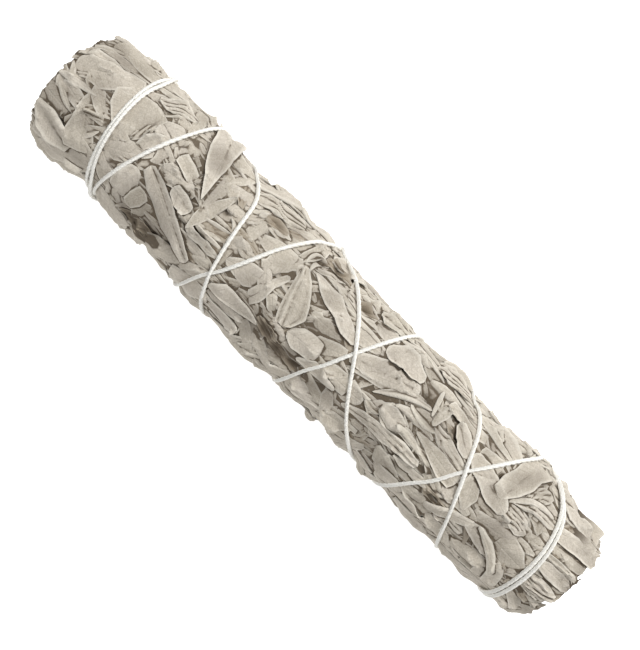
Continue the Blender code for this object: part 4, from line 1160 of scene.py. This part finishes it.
def end_leaf(side, radius, start, arc, rng):
    """A curled ribbon of blade that runs into the bundle from its sawn end."""
    rows = max(8, round(radius * arc / END_STEP))
    along, depth = np.meshgrid(np.linspace(0, 1, rows + 1), [0, 0.12, 0.35, 0.65, 1.0], indexing="ij")
    phases = [rng.uniform(0, 6.3) for _ in range(5)]
    drift = rng.uniform(-2.1, 2.1)
    angle = start + arc * along
    swing = rng.uniform(0.3, 0.95)
    ripple = swing * np.sin(angle * radius / 2.3 + phases[0])
    ripple = ripple + 0.35 * np.sin(angle * radius / 0.95 + phases[1])
    outward = radius + drift * (along - 0.5) + ripple * (1 - 0.3 * depth)
    outward = outward + 0.3 * np.sin(5 * depth + phases[2])
    saw = 0.3 + 1.6 * rng.random() + 0.7 * np.sin(angle * radius / 2.3 + phases[3]) ** 2
    saw = saw + 0.35 * np.sin(angle * radius / 0.7 + phases[4])
    x = side * (LENGTH / 2 - saw * (1 - depth) - END_DEPTH * depth)
    if side > 0:
        x = x + butt_slant(angle * UNROLLED_RADIUS) * radius / UNROLLED_RADIUS
    sheets = []
    for shift in (0, END_BLADE):
        y = (outward - shift) * np.sin(angle)
        z = AXIS_HEIGHT + (outward - shift) * np.cos(angle)
        if side > 0:
            for place_y, place_z, thick in stem_places * STEM_PASSES:
                apart = np.hypot(y - place_y, z - place_z)
                clear = np.maximum(apart, thick * 0.72 + 0.25)
                y = place_y + (y - place_y) * clear / np.maximum(apart, 0.01)
                z = place_z + (z - place_z) * clear / np.maximum(apart, 0.01)
        sheets.append(np.stack([x, y, z], axis=-1).reshape(-1, 3))
    faces = sheet_faces(np.ones((rows, depth.shape[1] - 1), bool), flip=side > 0)
    points = np.vstack(sheets)
    marks = {
        # Painted shade deeper into the sawn end, painted contact shade there too, and painted highlight
        # along the cut edge
        "depth": np.tile(np.clip(0.12 + 0.9 * depth.ravel() + 0.06 * saw.ravel(), 0, 1), 2),
        "cavity": np.tile(0.5 * depth.ravel(), 2),
        "margin": np.tile(np.clip(1 - depth.ravel() / 0.1, 0, 1), 2),
        "tone": np.full(len(points), rng.uniform(-1, 1)),
        "age": np.full(len(points), rng.uniform(0, 0.25)),
        "vein": np.tile(np.column_stack([x.ravel(), (angle * radius).ravel() + 2, 0 * x.ravel()]), (2, 1)),
    }
    return points, faces, marks


for side, label in ((-1, "tip"), (1, "butt")):
    rng = random.Random(label)
    ribbons = []
    girth_here = float(np.interp(side * (LENGTH / 2 - 2), *np.array(GIRTH).T))
    for layer in range(END_LAYERS):
        radius = END_MIDDLE + (girth_here - END_MARGIN) * (layer + 0.5) / END_LAYERS
        start = rng.uniform(0, 6.3)
        done = 0.0
        while done < 2 * math.pi - 0.25:
            arc = min(rng.uniform(0.5, 1.3) * min(3.5, 14 / radius), 2 * math.pi - done)
            ribbons.append(end_leaf(side, radius + rng.uniform(-0.3, 0.3), start + done, arc * END_GAP, rng))
            done += arc
    points, faces, marks = join(ribbons)
    new_piece(f"end_leaves_{label}", points, faces, felted_leaf, marks, ["leaf_bundle"])


# Cotton string
# One soft, undyed cotton string of three twisted strands binds the leaves. It winds to the butt
# and back, is drawn tight into them, and is tied in a double knot with two trimmed tails.

COTTON_WHITE = (0.93, 0.92, 0.88, 1)
COTTON_CREAM = (0.84, 0.82, 0.76, 1)
COTTON_SHADE = (0.7, 0.66, 0.58, 1)
COTTON_SOILED = (0.74, 0.7, 0.6, 1)
STRING_DIAMETER = 1.25
STRAND_SHARE = 0.68
STRANDS = 3
STRAND_SIDES = 7
STRAND_TWIST = 5.6
STRING_STEP = 0.75
STRING_SINK = 0.35
KNOT_PLACE = (-85, 112)
TAILS = [[(-88.5, 108), (-92.5, 104)], [(-88, 118), (-91.5, 124)]]
CROSSING_SKIP = 12
KNOT_RADIUS = 1.5
KNOT_JOIN = 10
WRAP_TURNS = 2.6
WRAP_WIDTH = 2.4
OVER_TURNS = 1.4


def running(values, reach):
    """Soften values along the string."""
    weights = np.exp(-0.5 * (np.arange(-3 * reach, 3 * reach + 1) / reach) ** 2)
    return np.convolve(np.pad(values, 3 * reach, mode="edge"), weights / weights.sum(), mode="valid")


def taut_line(points, top_radius, over=None):
    """Middle of a string pulled over the leaves along a route, and over the turns under it."""
    line = smooth_route(points, STRING_STEP)
    rest = read(top_radius, line[:, 0], line[:, 1])
    radius = rest
    for _ in range(3):
        radius = np.maximum(rest, running(radius, 5))
    radius = running(radius, 5) + STRING_DIAMETER / 2 - STRING_SINK
    lifted = radius.copy()
    skip = round(CROSSING_SKIP / STRING_STEP)
    for i in range(len(line)):
        earlier = slice(0, max(0, i - skip))
        turned = np.mod(line[earlier, 1] - line[i, 1] + TURN / 2, TURN) - TURN / 2
        apart = np.hypot(line[earlier, 0] - line[i, 0], turned)
        close = apart < STRING_DIAMETER
        if close.any():
            need = lifted[earlier][close] + np.sqrt(STRING_DIAMETER**2 - apart[close] ** 2)
            lifted[i] = max(lifted[i], need.max())
    lift = lifted - radius
    lift = np.maximum(lift, running(lift, 4))
    lift = np.maximum(lift * 0.98, running(lift, 3))
    downward = np.maximum(-np.cos(line[:, 1] / UNROLLED_RADIUS), 0.1)
    room = (AXIS_HEIGHT - STRING_DIAMETER / 2 - 0.05) / downward
    return wrap_round(line[:, 0], line[:, 1], np.minimum(running(radius + lift, 2), room))


def strands(line, seed="string"):
    """Twisted strands along a line: points, faces and marks."""
    rng = random.Random(seed)
    ahead = np.gradient(line, axis=0)
    ahead /= np.linalg.norm(ahead, axis=1)[:, None]
    outward = line - [0, 0, AXIS_HEIGHT]
    outward[:, 0] = 0
    outward -= (outward * ahead).sum(axis=1)[:, None] * ahead
    outward /= np.maximum(np.linalg.norm(outward, axis=1), 1e-6)[:, None]
    aside = np.cross(ahead, outward)
    run = np.concatenate([[0], np.cumsum(np.linalg.norm(np.diff(line, axis=0), axis=1))])
    slub = 1 + 0.05 * np.sin(run / 7.3 + rng.uniform(0, 6)) + 0.04 * np.sin(run / 2.9 + rng.uniform(0, 6))
    strand_radius = STRING_DIAMETER / 2 * STRAND_SHARE * slub
    offset = (STRING_DIAMETER / 2 * (1 - STRAND_SHARE) * slub)[:, None]
    angle = np.arange(STRAND_SIDES) * 2 * math.pi / STRAND_SIDES
    ring = np.cos(angle)[:, None] * outward[:, None, :] + np.sin(angle)[:, None] * aside[:, None, :]
    points = []
    faces = []
    plies = []
    for strand in range(STRANDS):
        turn = 2 * math.pi * (run / STRAND_TWIST + strand / STRANDS)
        middle = line + offset * (np.cos(turn)[:, None] * outward + np.sin(turn)[:, None] * aside)
        made, sides = loft(middle[:, None, :] + strand_radius[:, None, None] * ring)
        faces += [[i + strand * len(made) for i in face] for face in sides]
        points.append(made)
        plies.append(np.column_stack([np.repeat(run, STRAND_SIDES), np.tile(angle, len(run)),
                                      np.full(len(run) * STRAND_SIDES, strand)]))
        plies.append(np.zeros((2, 3)))
    return np.vstack(points), faces, {"ply": np.vstack(plies)}


def cotton_finish():
    cotton = Finish("twisted_cotton", 0.95, 0.1)
    run, turned = cotton.parts(cotton.mark("ply", out=1))
    lay = cotton.node("Math", {"operation": "SINE"}, {0: run * 7 + turned * 2})
    fluff = cotton.noise(0.3, 3)
    soil = cotton.noise(9, 2)
    colour = cotton.mix(cotton.between(fluff, 0.3, 0.7), COTTON_CREAM, COTTON_WHITE)
    colour = cotton.mix(cotton.between(lay, -0.6, 1) * 0.1, colour, COTTON_SHADE)
    colour = cotton.mix(cotton.between(soil, 0.5, 0.8) * 0.3, colour, COTTON_SOILED)
    return cotton.close(colour, lay * 0.5 + fluff * 0.6, 0.1)


leaf_depth = np.maximum(crest - heap.height, -CREST_OVER)
leaf_radius = outside - relief_limit * (1 - np.exp(-leaf_depth / relief_limit))
top_radius = highest_near(leaf_radius, 0.4)
string_middle = taut_line(STRING_ROUTE, top_radius)
twisted_cotton = cotton_finish()
knot_angle = around_from(KNOT_PLACE[1])
knot_radius = float(np.linalg.norm(string_middle[0][1:] - [0, AXIS_HEIGHT])) + 0.5
knot_middle = wrap_round(np.array(float(KNOT_PLACE[0])), np.array(knot_angle), np.array(knot_radius))
for end, step in ((0, 1), (-1, -1)):
    for i in range(KNOT_JOIN):
        share = (1 - i / KNOT_JOIN) ** 2
        spot = end + step * i
        string_middle[spot] = string_middle[spot] * (1 - share) + knot_middle * share
points, faces, marks = strands(string_middle)
new_piece("bound_string", points, faces, twisted_cotton, marks, ["binding_string"])

outward = np.array([0, math.sin(math.radians(KNOT_PLACE[1])), math.cos(math.radians(KNOT_PLACE[1]))])
sideward = np.array([0, outward[2], -outward[1]])
lengthwise = np.array([1.0, 0, 0])
turns = np.linspace(0, 1, 120)
spin = 2 * math.pi * WRAP_TURNS * turns
coil = np.cos(spin)[:, None] * outward + np.sin(spin)[:, None] * lengthwise
wrap = knot_middle + KNOT_RADIUS * 0.8 * coil + (turns - 0.5)[:, None] * WRAP_WIDTH * sideward
spin = 2 * math.pi * OVER_TURNS * turns
coil = np.cos(spin)[:, None] * outward + np.sin(spin)[:, None] * sideward
over = knot_middle + KNOT_RADIUS * 1.15 * coil + 0.5 * np.sin(2 * spin)[:, None] * lengthwise
for label, line in (("wrap", wrap), ("over", over)):
    points, faces, marks = strands(line, seed=label)
    new_piece(f"knot_{label}", points, faces, twisted_cotton, marks, ["binding_string"])
for number, tail in enumerate(TAILS):
    line = taut_line([KNOT_PLACE] + tail, top_radius)
    line[:6] += (knot_middle - line[0]) * np.linspace(1, 0, 6)[:, None]
    points, faces, marks = strands(line, seed=f"tail {number}")
    new_piece(f"tail_{number + 1}", points, faces, twisted_cotton, marks, ["binding_string"])


# Loose fibres of the string
# Cotton sheds fine curled hairs along its whole length. They stand a millimetre or two out of
# the twist, held in it at their roots.

FIBRES = 900
FIBRE_THICKNESS = 0.035
FIBRE_LENGTHS = (0.4, 1.6)
FIBRE_POINTS = 5
FIBRE_SIDES = 3
FIBRE_TAPER = 0.17
rng = random.Random("fibres")
fibre_points = []
fibre_faces = []
for number in range(FIBRES):
    at = rng.randrange(5, len(string_middle) - 6)
    start = string_middle[at]
    ahead = string_middle[at + 3] - string_middle[at - 3]
    ahead /= np.linalg.norm(ahead)
    lean = np.array([rng.gauss(0, 1) for _ in range(3)])
    away = start - [start[0], 0, AXIS_HEIGHT]
    lean += away / np.linalg.norm(away) * 1.1
    lean -= (lean @ ahead) * ahead
    lean /= np.linalg.norm(lean)
    curl = np.cross(ahead, lean)
    long = rng.uniform(*FIBRE_LENGTHS)
    bend = rng.gauss(0, 0.7)
    line = []
    for t in np.linspace(0, 1, FIBRE_POINTS):
        line.append(start + lean * (STRING_DIAMETER / 2 * 0.8 + long * t * 0.7) + ahead * long * bend * t**2
                    + curl * long * 0.4 * math.sin(3 * t + number))
    line = np.array(line)
    if line[:, 2].min() < 0.2:
        continue
    first = len(fibre_points)
    for i, point in enumerate(line):
        thin = FIBRE_THICKNESS * (1 - FIBRE_TAPER * i)
        for corner in range(FIBRE_SIDES):
            angle = 2.1 * corner
            fibre_points.append(point + thin * (math.cos(angle) * curl + math.sin(angle) * ahead))
    for i in range(FIBRE_POINTS - 1):
        for corner in range(FIBRE_SIDES):
            a = first + FIBRE_SIDES * i + corner
            b = first + FIBRE_SIDES * i + (corner + 1) % FIBRE_SIDES
            fibre_faces.append([a, b, b + FIBRE_SIDES, a + FIBRE_SIDES])
    last = len(fibre_points) - FIBRE_SIDES
    fibre_faces.append([first + 2, first + 1, first])
    fibre_faces.append([last, last + 1, last + 2])
new_piece("string_fibres", np.array(fibre_points), fibre_faces, twisted_cotton,
          {"ply": np.zeros((len(fibre_points), 3))}, ["binding_string"])


# Studio
# A plain pale table under soft light from the upper right of the picture, and the camera,
# which looks straight down on the bundle with its butt to the lower right.

CAMERA_HEIGHT = 268.7
PICTURE_TURN = 45.5
WHITE = (1, 1, 1, 1)
TABLE_WHITE = (0.93, 0.93, 0.93, 1)
TABLE_SIZE = 4
TABLE_GLOW = 0.6
ROOM_LIGHT = 0.54

bpy.ops.mesh.primitive_plane_add(size=TABLE_SIZE)
table = bpy.context.object
table.name = "table"
pale = Finish("pale_table", 0.9, 0.1)
pale.shader.inputs["Base Color"].default_value = TABLE_WHITE
pale.shader.inputs["Emission Color"].default_value = WHITE
pale.shader.inputs["Emission Strength"].default_value = TABLE_GLOW
table.data.materials.append(pale.material)


def soft_light(name, place, size, power):
    light = bpy.data.lights.new(name, "AREA")
    light.size = size
    light.energy = power
    lamp = bpy.data.objects.new(name, light)
    bpy.context.scene.collection.objects.link(lamp)
    lamp.location = place
    aim = Vector((0, 0, AXIS_HEIGHT * MM)) - Vector(place)
    lamp.rotation_euler = aim.to_track_quat("-Z", "Y").to_euler()


soft_light("window", (0.10, 0.46, 0.60), 0.25, 4.4)
soft_light("sky", (-0.3, -0.3, 0.8), 0.8, 1.2)
world = bpy.data.worlds.new("room")
world.use_nodes = True
sky = world.node_tree.nodes["Background"]
sky.inputs["Color"].default_value = WHITE
sky.inputs["Strength"].default_value = ROOM_LIGHT
bpy.context.scene.world = world
bpy.context.scene.view_settings.view_transform = "Standard"

camera = bpy.data.objects.new("camera", bpy.data.cameras.new("camera"))
camera.data.lens = 50
camera.data.sensor_width = 36
camera.data.clip_start = 0.01
camera.location = (0.0002, 0.0012, (AXIS_HEIGHT + CAMERA_HEIGHT) * MM)
camera.rotation_euler = (0, 0, math.radians(PICTURE_TURN))
bpy.context.scene.collection.objects.link(camera)
bpy.context.scene.camera = camera
